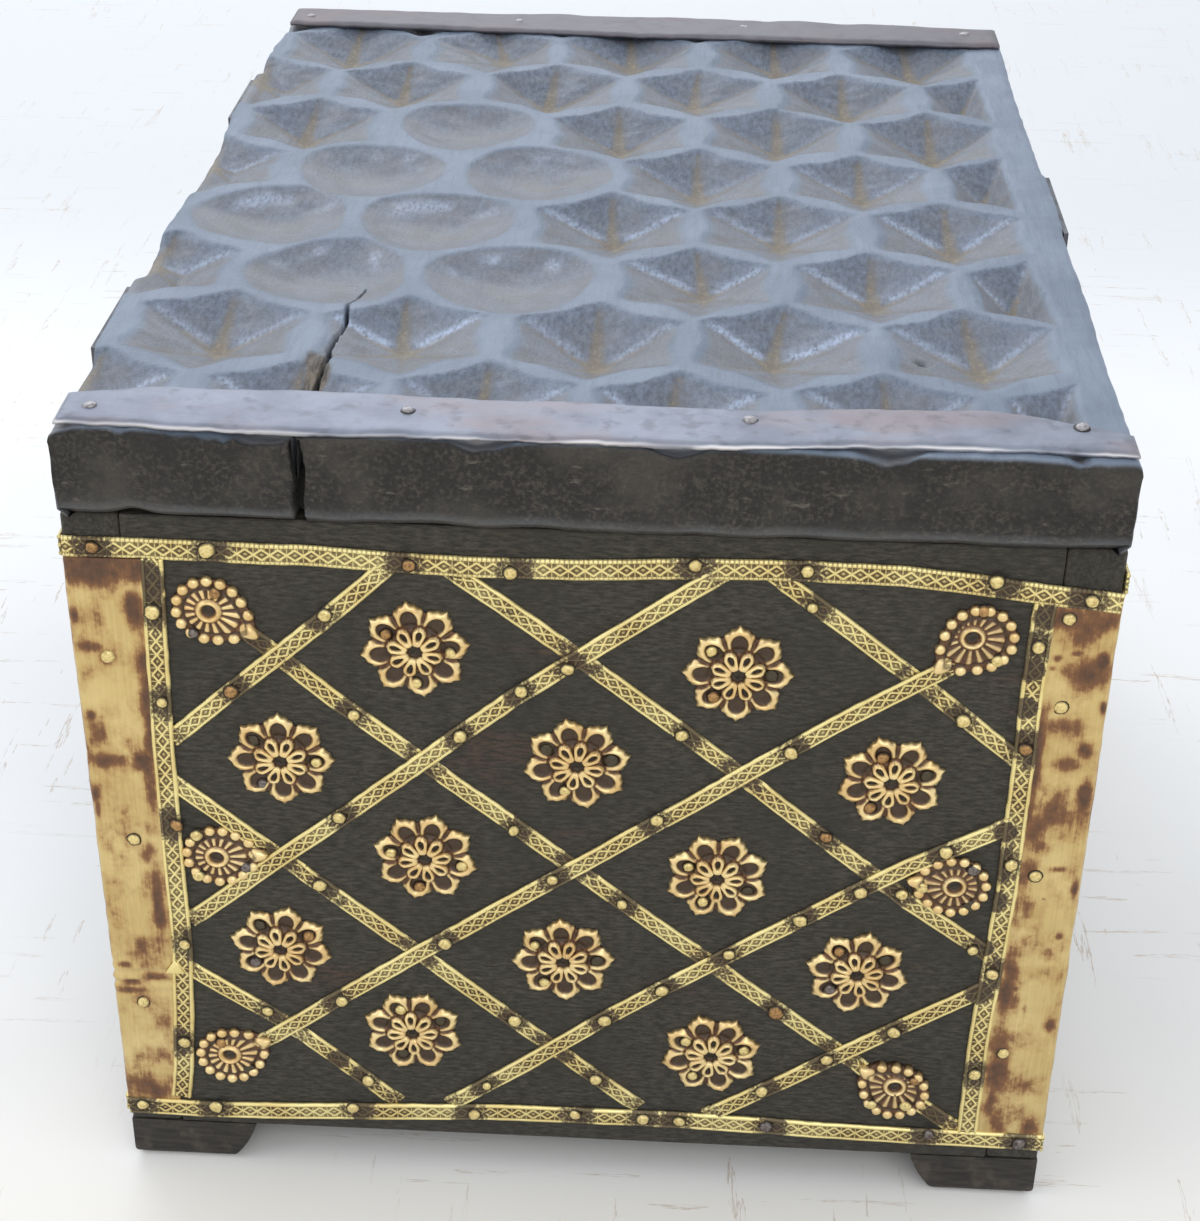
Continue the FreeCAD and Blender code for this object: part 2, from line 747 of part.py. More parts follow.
def make_hinges():
    face = -half_width
    outer = face - hinge_leaf_thickness
    bore = hinge_pin_radius + pin_clearance
    clear = hinge_knuckle_radius + knuckle_gap
    body_nails = []
    lid_nails = []
    for name, middle in zip(("near", "far"), hinge_middles()):
        start = middle - hinge_width / 2
        end = middle + hinge_width / 2
        first = middle - hinge_width / 6
        last = middle + hinge_width / 6
        hole = cylinder_y(bore, hinge_x, start - overrun, end + overrun, hinge_z)

        body = leaf(face, outer, start, hinge_z - hinge_leaf_down, end, hinge_z)
        body = body.cut(leaf(face, outer, first - knuckle_gap, hinge_z - clear, last + knuckle_gap, hinge_z))
        knuckles = [
            cylinder_y(hinge_knuckle_radius, hinge_x, start, first - knuckle_gap / 2, hinge_z),
            cylinder_y(hinge_knuckle_radius, hinge_x, last + knuckle_gap / 2, end, hinge_z),
        ]
        keep("hinge_body_leaf_" + name, joined([body] + knuckles).cut(hole))

        top = leaf(face, outer, start, hinge_z + clear, end, lid_top - hinge_leaf_rim)
        neck = leaf(face, outer, first + knuckle_gap / 2, hinge_z, last - knuckle_gap / 2, hinge_z + clear)
        inner_start = first + knuckle_gap / 2
        inner_end = last - knuckle_gap / 2
        knuckle = cylinder_y(hinge_knuckle_radius, hinge_x, inner_start, inner_end, hinge_z)
        keep("hinge_lid_leaf_" + name, joined([top, neck, knuckle]).cut(hole))
        keep("hinge_pin_" + name, cylinder_y(hinge_pin_radius, hinge_x, start, end, hinge_z))

        for shift_share, low_share, high_share in hinge_nail_shares:
            shift = middle + hinge_width * shift_share
            low = hinge_z - hinge_leaf_down * low_share
            body_nails.append(nail(back_point, shift, low, hinge_leaf_thickness))
            high = hinge_z + (lid_top - hinge_z) * high_share
            lid_nails.append(nail(back_point, shift, high, hinge_leaf_thickness))
    keep("hinge_body_nails", *body_nails)
    keep("hinge_lid_nails", *lid_nails)


# Hasp: a plate on the lid's front edge, a slotted strap hinged to it, and a staple in the front board

def make_hasp():
    face = half_width
    outer = face + hasp_plate_thickness
    half = hasp_plate_width / 2
    middle = hasp_width / 2
    bore = hasp_pin_radius + pin_clearance
    clear = hasp_knuckle_radius + knuckle_gap
    hole = cylinder_y(bore, hasp_x, -half - overrun, half + overrun, hasp_z)

    plate = leaf(face, outer, -half, hasp_z, half, lid_top - hasp_plate_rim)
    plate = plate.cut(leaf(face, outer, -middle - knuckle_gap, hasp_z, middle + knuckle_gap, hasp_z + clear))
    knuckles = [
        cylinder_y(hasp_knuckle_radius, hasp_x, -half, -middle - knuckle_gap / 2, hasp_z),
        cylinder_y(hasp_knuckle_radius, hasp_x, middle + knuckle_gap / 2, half, hasp_z),
    ]
    keep("hasp_plate", joined([plate] + knuckles).cut(hole))
    keep("hasp_pin", cylinder_y(hasp_pin_radius, hasp_x, -half, half, hasp_z))

    x0 = hasp_x - hasp_thickness / 2
    x1 = hasp_x + hasp_thickness / 2
    inner = middle - knuckle_gap / 2
    round_z = hasp_z - hasp_reach - hasp_tail + inner
    out = FreeCAD.Vector(1, 0, 0)
    strap = [
        leaf(x0, x1, -inner, round_z, inner, hasp_z),
        Part.makeCylinder(inner, hasp_thickness, FreeCAD.Vector(x0, 0, round_z), out),
        cylinder_y(hasp_knuckle_radius, hasp_x, -inner, inner, hasp_z),
    ]
    slot_end = (slot_length - slot_width) / 2
    slot = leaf(x0, x1, -slot_width / 2, staple_z - slot_end, slot_width / 2, staple_z + slot_end)
    for end in (-slot_end, slot_end):
        at = FreeCAD.Vector(x0, 0, staple_z + end)
        slot = slot.fuse(Part.makeCylinder(slot_width / 2, hasp_thickness, at, out))
    hasp = joined(strap).cut(hole).cut(slot)
    hasp.rotate(FreeCAD.Vector(hasp_x, 0, hasp_z), FreeCAD.Vector(0, -1, 0), hasp_ajar)
    keep("hasp_strap", hasp)

    nails = []
    for side in (-1, 1):
        across = side * (half + middle) / 2
        nails.append(nail(lid_front_point, across, lid_thickness * hasp_nail_share, hasp_plate_thickness))
    keep("hasp_nails", *nails)


def make_staple():
    """Wire bent to a U: two straight legs and a half turn between them."""
    radius = staple_leg_gap / 2
    reach = hasp_offset + hasp_thickness / 2 + staple_eye + staple_wire - radius
    pieces = []
    for side in (-1, 1):
        section = ring_of(0, staple_z + side * radius, staple_wire, staple_sides)
        pieces.append(slab(front_point, section, -staple_depth, reach))
    ring = [front_point(u, v, reach) for u, v in section]
    middle = front_point(0, staple_z, reach)
    bend = Part.Face(Part.makePolygon(ring + ring[:1])).revolve(middle, FreeCAD.Vector(0, 1, 0), 180)
    keep("staple", joined(pieces + [bend]))

    half = staple_plate_width / 2
    rise = staple_plate_height / 2
    outline = rectangle(-half, staple_z - rise, half, staple_z + rise)
    plate = slab(front_point, outline, 0, staple_plate_thickness)
    for leg in staple_legs(staple_wire + staple_hole_clearance):
        plate = plate.cut(leg)
    keep("staple_plate", plate)


make_carcass()
make_feet()
make_sides()
make_lid()
make_hinges()
make_hasp()
make_staple()

os.makedirs("parts", exist_ok=True)
for name, shape in sorted(parts.items()):
    shape.exportStep("parts/" + name + ".step")
print(len(parts), "pieces or groups of pieces written")
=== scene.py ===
import math

import bpy
import numpy as np
from mathutils import Matrix, Vector


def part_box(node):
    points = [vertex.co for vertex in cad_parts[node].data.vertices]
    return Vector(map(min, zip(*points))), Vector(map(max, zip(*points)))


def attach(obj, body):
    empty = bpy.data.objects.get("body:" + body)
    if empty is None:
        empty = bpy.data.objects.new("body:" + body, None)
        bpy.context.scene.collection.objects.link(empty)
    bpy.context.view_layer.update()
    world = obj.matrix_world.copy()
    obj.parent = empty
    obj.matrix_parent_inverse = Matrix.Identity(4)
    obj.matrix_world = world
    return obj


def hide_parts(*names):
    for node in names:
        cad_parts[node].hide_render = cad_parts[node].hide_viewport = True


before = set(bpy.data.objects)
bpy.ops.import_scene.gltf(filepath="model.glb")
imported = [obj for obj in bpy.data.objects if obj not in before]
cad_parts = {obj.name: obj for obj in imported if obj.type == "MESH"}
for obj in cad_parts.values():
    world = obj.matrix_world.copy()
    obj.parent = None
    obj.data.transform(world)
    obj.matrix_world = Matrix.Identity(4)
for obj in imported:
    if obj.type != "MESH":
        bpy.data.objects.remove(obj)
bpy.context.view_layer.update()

# Lengths in this file are millimetres; buildPiece turns them into metres.
# Heights stand on the floor, x runs from the hinged back to the hasp, y from the near end to the far one.

chest = {
    "halfWidth": 115.0, "halfLength": 152.0, "lidUnder": 188.4, "lidTop": 210.4, "lidHalfLength": 156.0,
}
view = {
    "place": (20.8, -578.4, 420.5), "yaw": -2.447, "pitch": 30.572, "roll": 0.909,
    "focal": 2267.03, "frameWidth": 1200,
}


def setCamera():
    # The photograph's own viewpoint: aimed by yaw and pitch, then rolled about the line of sight
    yaw, pitch, roll = (math.radians(view[k]) for k in ("yaw", "pitch", "roll"))
    ahead = Vector((math.sin(yaw) * math.cos(pitch), math.cos(yaw) * math.cos(pitch), -math.sin(pitch)))
    level = Vector((math.cos(yaw), -math.sin(yaw), 0))
    upward = level.cross(ahead)
    right = level * math.cos(roll) + upward * math.sin(roll)
    top = upward * math.cos(roll) - level * math.sin(roll)
    lens = bpy.data.cameras.new("camera")
    lens.sensor_fit = "HORIZONTAL"
    lens.sensor_width = 36.0
    lens.lens = view["focal"] / view["frameWidth"] * lens.sensor_width
    lens.clip_start = 0.01
    lens.clip_end = 20
    camera = bpy.data.objects.new("camera", lens)
    turn = Matrix((right, top, -ahead)).transposed().to_4x4()
    camera.matrix_world = Matrix.Translation(Vector(view["place"]) / 1000) @ turn
    bpy.context.collection.objects.link(camera)
    bpy.context.scene.camera = camera


setCamera()
print("camera set")


# Shader wiring

class Wire:
    # One socket of a node tree; sums written with it add Math nodes, or Vector Math for colours and vectors
    def __init__(self, graph, socket):
        self.graph = graph
        self.socket = socket

    def join(self, operation, first, second=None):
        plain = all(not isinstance(w, Wire) or w.socket.type == "VALUE" for w in (first, second))
        values = {0: first} if second is None else {0: first, 1: second}
        if plain:
            return self.graph.add("Math", {"operation": operation}, values)
        values = {k: (v,) * 3 if isinstance(v, (int, float)) else v for k, v in values.items()}
        return self.graph.add("VectorMath", {"operation": operation}, values)

    def rise(self, low, high):
        # 0 below low, 1 above high and a smooth step between; low may be the larger
        flip = low > high
        ends = {1: high, 2: low, 3: 1.0, 4: 0.0} if flip else {1: low, 2: high}
        return self.graph.add("MapRange", {"interpolation_type": "SMOOTHSTEP"}, {0: self, **ends})

    def peak(self, middle, reach):
        # 1 at a middle value, falling smoothly to 0 at a reach each side of it
        return abs(self - middle).rise(reach, 0.0)


def operate(operation, turned=False):
    # A method that joins a wire and what it is given, or the other way round, by one operation
    def method(self, other=None):
        return self.join(operation, *((other, self) if turned else (self, other)))
    return method


for methods, operation in (
    ("__add__ __radd__", "ADD"), ("__sub__", "SUBTRACT"), ("__mul__ __rmul__", "MULTIPLY"), ("__truediv__", "DIVIDE"),
    ("__abs__", "ABSOLUTE"), ("fract", "FRACT"), ("atMost", "MINIMUM"), ("atLeast", "MAXIMUM"),
):
    for method in methods.split():
        setattr(Wire, method, operate(operation))
Wire.__rsub__ = operate("SUBTRACT", turned=True)


class Graph:
    # One material, and the nodes added to it
    def __init__(self, name):
        self.material = bpy.data.materials.new(name)
        self.material.use_nodes = True
        self.tree = self.material.node_tree
        self.tree.nodes.clear()
        self.place = self.add("TexCoord", out="Object")

    def add(self, kind, settings=None, sockets=None, out=0):
        node = self.tree.nodes.new("ShaderNode" + kind)
        for key, value in (settings or {}).items():
            setattr(node, key, value)
        for key, value in (sockets or {}).items():
            if isinstance(value, Wire):
                self.tree.links.new(value.socket, node.inputs[key])
            else:
                node.inputs[key].default_value = value
        return Wire(self, node.outputs[out])

    def noise(self, size, detail=3.0, stretch=(1, 1, 1), roughness=0.55, shift=(0, 0, 0)):
        # Noise whose blotches are about this many millimetres across, drawn out along the axes of stretch
        scale = tuple(1000 / size / s for s in stretch)
        at = self.add("Mapping", None, {"Vector": self.place, "Location": shift, "Scale": scale})
        return self.add("TexNoise", None, {"Vector": at, "Scale": 1.0, "Detail": detail, "Roughness": roughness})

    def field(self, name):
        return self.add("Attribute", {"attribute_name": name}, out="Fac")

    def mix(self, share, first, second):
        first, second = (c if isinstance(c, Wire) else (*colour(*c), 1) for c in (first, second))
        settings = {"data_type": "RGBA", "clamp_factor": True}
        return self.add("Mix", settings, {0: share, 6: first, 7: second}, out=2)

    def bump(self, height, depth, under=None):
        # Depth is the relief in millimetres that a height of 1 stands for
        sockets = {"Height": height, "Strength": 1.0, "Distance": depth / 1000}
        if under:
            sockets["Normal"] = under
        return self.add("Bump", None, sockets)

    def finish(self, **sockets):
        shader = self.tree.nodes.new("ShaderNodeBsdfPrincipled")
        for key, value in sockets.items():
            socket = shader.inputs[key.replace("_", " ")]
            if isinstance(value, Wire):
                self.tree.links.new(value.socket, socket)
            else:
                socket.default_value = (*colour(*value), 1) if isinstance(value, tuple) else value
        output = self.tree.nodes.new("ShaderNodeOutputMaterial")
        self.tree.links.new(shader.outputs[0], output.inputs[0])
        return self.material


def colour(red, green, blue):
    # A colour written as it looks on a screen, 0 to 255, made linear
    return tuple(((c / 255 + 0.055) / 1.055) ** 2.4 if c > 10 else c / 255 / 12.92 for c in (red, green, blue))


# Meshes from numpy grids

def gridFaces(rows, columns, wrap=False, flip=False):
    # Four-sided faces of a grid of points stored row by row; wrap joins the last column to the first
    index = np.arange(rows * columns).reshape(rows, columns)
    right = np.roll(index, -1, axis=1)
    if not wrap:
        index, right = index[:, :-1], right[:, :-1]
    faces = np.stack([index[:-1], right[:-1], right[1:], index[1:]], -1).reshape(-1, 4)
    return faces[:, ::-1] if flip else faces


def buildPiece(name, patches, material, body, nodes=(), smooth=True):
    # A patch has points (n, 3) in millimetres, a list of face arrays and any fields of one value a point
    points = np.concatenate([p["points"] for p in patches]) / 1000
    corners, counts, start = [], [], 0
    for patch in patches:
        for faces in patch["faces"]:
            corners.append((faces + start).ravel())
            counts.append(np.full(len(faces), faces.shape[1]))
        start += len(patch["points"])
    corners = np.concatenate(corners)
    counts = np.concatenate(counts)
    mesh = bpy.data.meshes.new(name)
    mesh.vertices.add(len(points))
    mesh.vertices.foreach_set("co", points.astype(np.float32).ravel())
    mesh.loops.add(len(corners))
    mesh.loops.foreach_set("vertex_index", corners.astype(np.int32))
    mesh.polygons.add(len(counts))
    mesh.polygons.foreach_set("loop_start", (np.cumsum(counts) - counts).astype(np.int32))
    mesh.update(calc_edges=True)
    mesh.validate()
    mesh.polygons.foreach_set("use_smooth", np.full(len(mesh.polygons), smooth))
    for key in patches[0].get("fields", {}):
        values = np.concatenate([np.ravel(p["fields"][key]) for p in patches]).astype(np.float32)
        mesh.attributes.new(key, "FLOAT", "POINT").data.foreach_set("value", values)
    mesh.materials.append(material)
    piece = bpy.data.objects.new(name, mesh)
    bpy.context.collection.objects.link(piece)
    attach(piece, body)
    if nodes:
        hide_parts(*nodes)
    return piece


def onFace(side, u, v, out):
    # A place on one side: u along it, v up from the floor, out away from the wood
    u, v, out = np.broadcast_arrays(*(np.asarray(a, float) for a in (u, v, out)))
    if side == "near":
        return np.stack([u, -chest["halfLength"] - out, v], -1)
    if side == "far":
        return np.stack([u, chest["halfLength"] + out, v], -1)
    if side == "front":
        return np.stack([chest["halfWidth"] + out, u, v], -1)
    if side == "back":
        return np.stack([-chest["halfWidth"] - out, u, v], -1)
    return np.stack([u, v, chest["lidTop"] + out], -1)


turnedSides = ("far", "back")


def bandPatch(top, low, fields, flip=False):
    # A long band: a grid of points along and across it, closed underneath between its two lower edges
    rows, columns = top.shape[:2]
    count = rows * columns
    points = np.concatenate([top.reshape(-1, 3), low[:, 0], low[:, -1]])
    left = count + np.arange(rows)
    right = left + rows
    first = np.arange(rows) * columns
    last = first + columns - 1
    sides = [
        np.stack([left[:-1], first[:-1], first[1:], left[1:]], -1),
        np.stack([last[:-1], right[:-1], right[1:], last[1:]], -1),
        np.stack([right[:-1], left[:-1], left[1:], right[1:]], -1),
    ]
    ends = [
        np.concatenate([[left[0], right[0]], np.arange(columns)[::-1]])[None],
        np.concatenate([[right[-1], left[-1]], first[-1] + np.arange(columns)])[None],
    ]
    faces = [gridFaces(rows, columns)] + sides + ends
    if not flip:
        faces = [f[:, ::-1] for f in faces]
    full = {k: np.concatenate([np.ravel(v), v[:, 0], v[:, -1]]) for k, v in fields.items()}
    return {"points": points, "faces": faces, "fields": full}


def discPatch(rings, middle, under, fields, centre, flip=False):
    # Rings of points about a middle, fanned shut at the top and, from the last ring, underneath
    count, around = rings.shape[:2]
    points = np.concatenate([rings.reshape(-1, 3), middle[None], under[None]])
    inner = np.arange(around)
    outer = (count - 1) * around + inner
    faces = [
        gridFaces(count, around, wrap=True),
        np.stack([inner, np.full(around, count * around), np.roll(inner, -1)], -1),
        np.stack([outer, np.roll(outer, -1), np.full(around, count * around + 1)], -1),
    ]
    if not flip:
        faces = [f[:, ::-1] for f in faces]
    full = {k: np.concatenate([np.ravel(v), [centre[k], 0.0]]) for k, v in fields.items()}
    return {"points": points, "faces": faces, "fields": full}


def waver(x, y, cell, seed):
    # Value noise from -1 to 1: random heights at the corners of square cells, blended by a smooth step
    table = np.random.default_rng(seed).uniform(-1, 1, (97, 89))
    column, row = np.floor(x / cell), np.floor(y / cell)
    across, along = x / cell - column, y / cell - row
    across, along = across ** 2 * (3 - 2 * across), along ** 2 * (3 - 2 * along)
    i, j = column.astype(int) % 97, row.astype(int) % 89
    k, l = (i + 1) % 97, (j + 1) % 89
    low = table[i, j] * (1 - across) + table[k, j] * across
    high = table[i, l] * (1 - across) + table[k, l] * across
    return low * (1 - along) + high * along


def ripple(x, cell, seed, shift=0):
    # The same noise along one line
    return waver(x, x * 0 + shift, cell, seed)


def step(value, low, high):
    # Smooth step from 0 at low to 1 at high, either way round
    share = np.clip((value - low) / (high - low), 0, 1)
    return share * share * (3 - 2 * share)


def hump(value, width):
    # A bell of height 1 that falls off within about this width
    return np.exp(-(value / width) ** 2)


# Finishes

def lidWood():
    # Waxed near-black hardwood, coloured pale blue-grey as painted sheen, with painted shade on the pits' far facets
    # and painted glints along them: brown in the hollows, pale dust lying along and around the creases
    g = Graph("lidWood")
    names = ("depth", "crease", "raw", "split", "bare", "glint", "far")
    depth, crease, raw, split, bare, glint, far = (g.field(n) for n in names)
    streak = g.noise(1.5, 5, stretch=(1, 9, 1))
    cloud = g.noise(24, 4)
    fine = g.noise(0.7, 3)
    # Painted sheen: the pale blue-grey base stands for the cool light the wax reflects; the wood itself is near-black
    base = g.mix(cloud.rise(0.35, 0.68), (102, 115, 130), (120, 132, 147))
    base = g.mix(streak.rise(0.45, 0.72) * 0.25, base, (78, 84, 92))
    floor = depth.rise(0.03, 0.16)
    base = g.mix(floor * 0.75, base, g.mix(fine.rise(0.35, 0.7), (110, 112, 117), (130, 130, 132)))
    chisel = g.noise(1.3, 5, stretch=(1, 2.2, 1), roughness=0.7, shift=(2, 6, 1))
    # Painted shade: the pits' far facets are painted a darker blue-grey
    base = g.mix(far * 0.85, base, g.mix(chisel.rise(0.32, 0.68), (70, 78, 90), (106, 116, 131)))
    brown = g.noise(8, 5, shift=(3, 1, 0)).rise(0.40, 0.64)
    base = g.mix(brown * floor * (0.36 - far * 0.16), base, (106, 98, 90))
    dust = crease * (depth * 0.8 + 0.3 + far * 0.45) + depth.rise(0.7, 1.0) * 0.3
    dust = dust + (g.noise(2.6, 5, shift=(7, 0, 0)) - 0.5) * 0.9
    base = g.mix(dust.rise(0.2, 1.1) * floor * 0.8, base, g.mix(depth, (98, 90, 81), (132, 122, 105)))
    crumbs = g.noise(1.1, 4, shift=(4, 4, 7)).rise(0.5, 0.66) * dust.rise(0.5, 1.1)
    base = g.mix(crumbs * floor * 0.5, base, (150, 138, 116))
    fibre = g.noise(0.8, 4, stretch=(1, 2.5, 1), shift=(6, 1, 4)).rise(0.2, 0.66)
    # Painted highlight: pale blue glints streaked along the far facets
    base = g.mix(glint * fibre, base, (188, 200, 220))
    base = g.mix(bare, base, g.mix(streak.rise(0.4, 0.6), (62, 56, 50), (106, 97, 86)))
    speck = g.noise(1.0, 5, shift=(0, 5, 0))
    grain = g.mix(speck.rise(0.42, 0.75), (27, 25, 24), (68, 63, 57))
    saw = g.noise(7, 6, stretch=(2.2, 1, 1), roughness=0.65, shift=(2, 2, 2))
    grain = g.mix(saw.rise(0.44, 0.66) * 0.7, grain, (27, 25, 24))
    grain = g.mix(g.noise(22, 4, shift=(1, 6, 2)).rise(0.46, 0.66) * 0.5, grain, (72, 68, 63))
    scrape = g.noise(2.4, 5, stretch=(3, 1, 1), roughness=0.7, shift=(8, 3, 2)).rise(0.60, 0.72)
    grain = g.mix(scrape * 0.6, grain, (104, 98, 90))
    base = g.mix(raw, base, grain)
    # Painted shade: the open crack, and the knot with it, painted near-black
    base = g.mix(split, base, (7, 7, 7))
    gloss = 0.46 + cloud * 0.14 + fine * 0.12 + crease * 0.15
    gloss = gloss + (0.72 - gloss) * raw
    relief = g.bump(streak, 0.22)
    relief = g.bump(fine, 0.2, relief)
    relief = g.bump(raw * speck, 0.7, relief)
    wax = (1.0 - raw) * (1.0 - crease * 0.5) * (1.0 - bare) * (0.2 + glint * fibre * 0.4)
    return g.finish(Base_Color=base, Roughness=gloss, Normal=relief, Coat_Weight=wax, Coat_Roughness=0.3,
                    Coat_Tint=(225, 236, 255), Specular_IOR_Level=0.5)


def boardWood(name, stretch):
    # Near-black boards, dry, with fine broken grain along their length and a few worn reddish patches
    g = Graph(name)
    grain = g.noise(0.8, 6, stretch=tuple(s ** 0.55 for s in stretch), roughness=0.75)
    pores = g.noise(0.5, 4, stretch=tuple(s ** 0.35 for s in stretch), shift=(1, 4, 2))
    cloud = g.noise(24, 5, roughness=0.65)
    base = g.mix(grain.rise(0.35, 0.7), (40, 38, 34), (76, 73, 66))
    base = g.mix(cloud.rise(0.42, 0.7) * 0.5, base, (48, 46, 42))
    worn = g.noise(17, 5, stretch=tuple(s ** 0.3 for s in stretch), shift=(2, 9, 5)).rise(0.60, 0.72)
    base = g.mix(worn * grain.rise(0.4, 0.62) * 0.5, base, (84, 58, 48))
    scuff = g.noise(1.2, 5, stretch=tuple(s ** 0.6 for s in stretch), shift=(5, 5, 5)).rise(0.64, 0.8)
    base = g.mix(scuff * 0.45, base, (104, 99, 92))
    base = g.mix(pores.rise(0.6, 0.75) * 0.5, base, (24, 22, 22))
    base = g.mix(g.field("edge") * 0.3, base, (86, 80, 75))
    relief = g.bump(grain, 0.24)
    relief = g.bump(pores, 0.14, relief)
    return g.finish(Base_Color=base, Roughness=0.52 + grain * 0.25, Normal=relief, Specular_IOR_Level=0.26)


def footWood():
    # Dirty dark feet with upright streaks
    g = Graph("footWood")
    grain = g.noise(1.2, 6, stretch=(6, 6, 1))
    base = g.mix(grain.rise(0.3, 0.75), (38, 36, 34), (58, 54, 49))
    dirt = g.noise(6, 5, shift=(4, 0, 0)).rise(0.5, 0.72)
    base = g.mix(dirt * 0.5, base, (88, 79, 70))
    return g.finish(Base_Color=base, Roughness=0.6, Normal=g.bump(grain, 0.25), Specular_IOR_Level=0.3)


def strapMetal():
    # Dull sheet, grey with pinkish and brown patches, rubbed pale along its front edge
    g = Graph("strapMetal")
    edge, brown = g.field("edge"), g.field("brown")
    cloud = g.noise(13, 5)
    patch = g.noise(24, 4, stretch=(1.8, 1, 1), shift=(2, 0, 3)).rise(0.46, 0.64)
    scratch = g.noise(1.2, 4, stretch=(8, 1, 1))
    base = g.mix(cloud.rise(0.3, 0.7), (118, 123, 136), (144, 150, 163))
    base = g.mix(patch * 0.45, base, (148, 127, 124))
    base = g.mix(g.noise(5, 5, shift=(0, 8, 0)).rise(0.52, 0.7) * 0.4, base, (88, 86, 92))
    base = g.mix(brown * 0.6, base, (98, 92, 93))
    base = g.mix(scratch.rise(0.6, 0.8) * 0.25, base, (172, 170, 176))
    base = g.mix(edge.rise(0.25, 0.9) * 0.8, base, (222, 220, 222))
    relief = g.bump(cloud, 0.35)
    relief = g.bump(scratch, 0.05, relief)
    return g.finish(Base_Color=base, Metallic=0.7, Roughness=0.42 + cloud * 0.2, Normal=relief)


def stripBrass():
    # Pressed strip: plain bright edges and between them a net of two crossing zigzag lines, dark inside its meshes,
    # with short teeth from the edges inward. Fields give the place along and across it, the dirt round its nails, the
    # darkening by its crossings and tucked ends, and 1 where its edges are ribbed like cord.
    g = Graph("stripBrass")
    along, across, grime, cord = (g.field(n) for n in ("along", "across", "grime", "cord"))
    wide = abs(across)
    swing = abs((along / strip["mesh"]).fract() - 0.5) * 2
    net = abs(wide - swing * strip["net"]).rise(0.36, 0.2)
    stud = ((1.0 - swing) * (strip["mesh"] / 1.1) + wide / 0.34).rise(1.15, 0.75) * 0.55
    tooth = (along / strip["mesh"] * 3).fract().peak(0.5, 0.2) * (wide - swing * strip["net"]).rise(0.0, 0.2) * 0.85
    flange = wide.rise(1.34, 1.5)
    rib = (along / strip["rib"]).fract().peak(0.5, 0.3) * wide.rise(1.3, 1.5) * cord
    raised = flange.atLeast(net).atLeast(tooth).atLeast(stud) * (1.0 - rib * 0.6)
    fine = g.noise(0.8, 4)
    cloud = g.noise(13, 4, shift=(1, 2, 3))
    worn = (fine * 0.6 + cloud * 0.6).rise(0.42, 0.7)
    dark = (1.0 - raised) * (0.7 + worn * 0.3)
    metal = g.mix(cloud.rise(0.35, 0.7), (240, 226, 162), (222, 202, 136))
    metal = g.mix(fine.rise(0.5, 0.8) * 0.3, metal, (206, 174, 110))
    ground = g.mix(fine.rise(0.4, 0.7), (72, 53, 32), (112, 88, 52))
    base = g.mix(dark, metal, ground)
    dirt = (grime + (fine - 0.5) * 1.3).rise(0.38, 0.8) * grime.rise(0.0, 0.3)
    base = g.mix(dirt * (0.97 - raised * 0.06), base, g.mix(fine.rise(0.35, 0.7), (44, 32, 25), (74, 54, 38)))
    relief = g.bump(raised, 0.18)
    relief = g.bump(fine, 0.05, relief)
    metallic, roughness = 0.7 - dark * 0.4 - dirt * 0.5, 0.38 + dark * 0.25 + fine * 0.1
    return g.finish(Base_Color=base, Metallic=metallic, Roughness=roughness, Normal=relief)


def ornamentBrass():
    # Pressed rosettes and drops: pale gold on the rims, coppery brown on the flanks, near black in the hollows
    g = Graph("ornamentBrass")
    relief, low = g.field("relief"), g.field("low")
    fine = g.noise(0.8, 4)
    cloud = g.noise(6, 4, shift=(5, 1, 0))
    gold = g.mix(cloud.rise(0.35, 0.7), (240, 216, 160), (218, 184, 126))
    brown = g.mix(fine.rise(0.4, 0.7), (118, 84, 58), (78, 54, 41))
    height = (relief + (fine - 0.5) * 0.3).rise(0.22, 0.7)
    base = g.mix(height, brown, gold)
    base = g.mix(low, base, g.mix(fine.rise(0.4, 0.6), (40, 35, 29), (64, 55, 44)))
    return g.finish(Base_Color=base, Metallic=0.5 + height * 0.2 - low * 0.3, Roughness=0.46 - height * 0.1,
                    Normal=g.bump(fine, 0.06))


def sheetBrass():
    # Smooth corner sheet: golden, finely brushed upright, tarnished in brown-purple patches with ragged upright edges
    g = Graph("sheetBrass")
    tarnish = g.field("tarnish")
    brush = g.noise(0.6, 4, stretch=(1, 1, 26))
    ragged = g.noise(5.5, 6, stretch=(1, 1, 1.2), roughness=0.62, shift=(3, 3, 1))
    spots = g.noise(1.6, 4, shift=(9, 2, 6))
    metal = g.mix(brush.rise(0.35, 0.7), (204, 181, 125), (196, 171, 116))
    metal = g.mix(g.noise(22, 3, shift=(1, 1, 7)).rise(0.4, 0.65) * 0.6, metal, (222, 202, 146))
    rough = (ragged - 0.5) * 2.2 + (brush - 0.5) * 0.25
    haze = (tarnish + rough).rise(-0.1, 0.6) * 0.7
    stain = (tarnish + rough + (brush - 0.5) * 0.3).rise(0.3, 0.7)
    base = g.mix(haze, metal, (164, 122, 78))
    tone = g.mix(spots.rise(0.35, 0.65), (88, 59, 49), (66, 46, 43))
    tone = g.mix((tarnish + rough).rise(0.5, 1.1), (124, 83, 56), tone)
    base = g.mix(stain * 0.9, base, tone)
    base = g.mix(spots.rise(0.70, 0.76) * 0.55, base, (104, 70, 52))
    relief = g.bump(g.noise(9, 2, shift=(0, 4, 4)), 0.5)
    relief = g.bump(brush, 0.04, relief)
    metallic, roughness = 0.72 - stain * 0.3, 0.34 + stain * 0.2 + brush * 0.08
    return g.finish(Base_Color=base, Metallic=metallic, Roughness=roughness, Normal=relief)


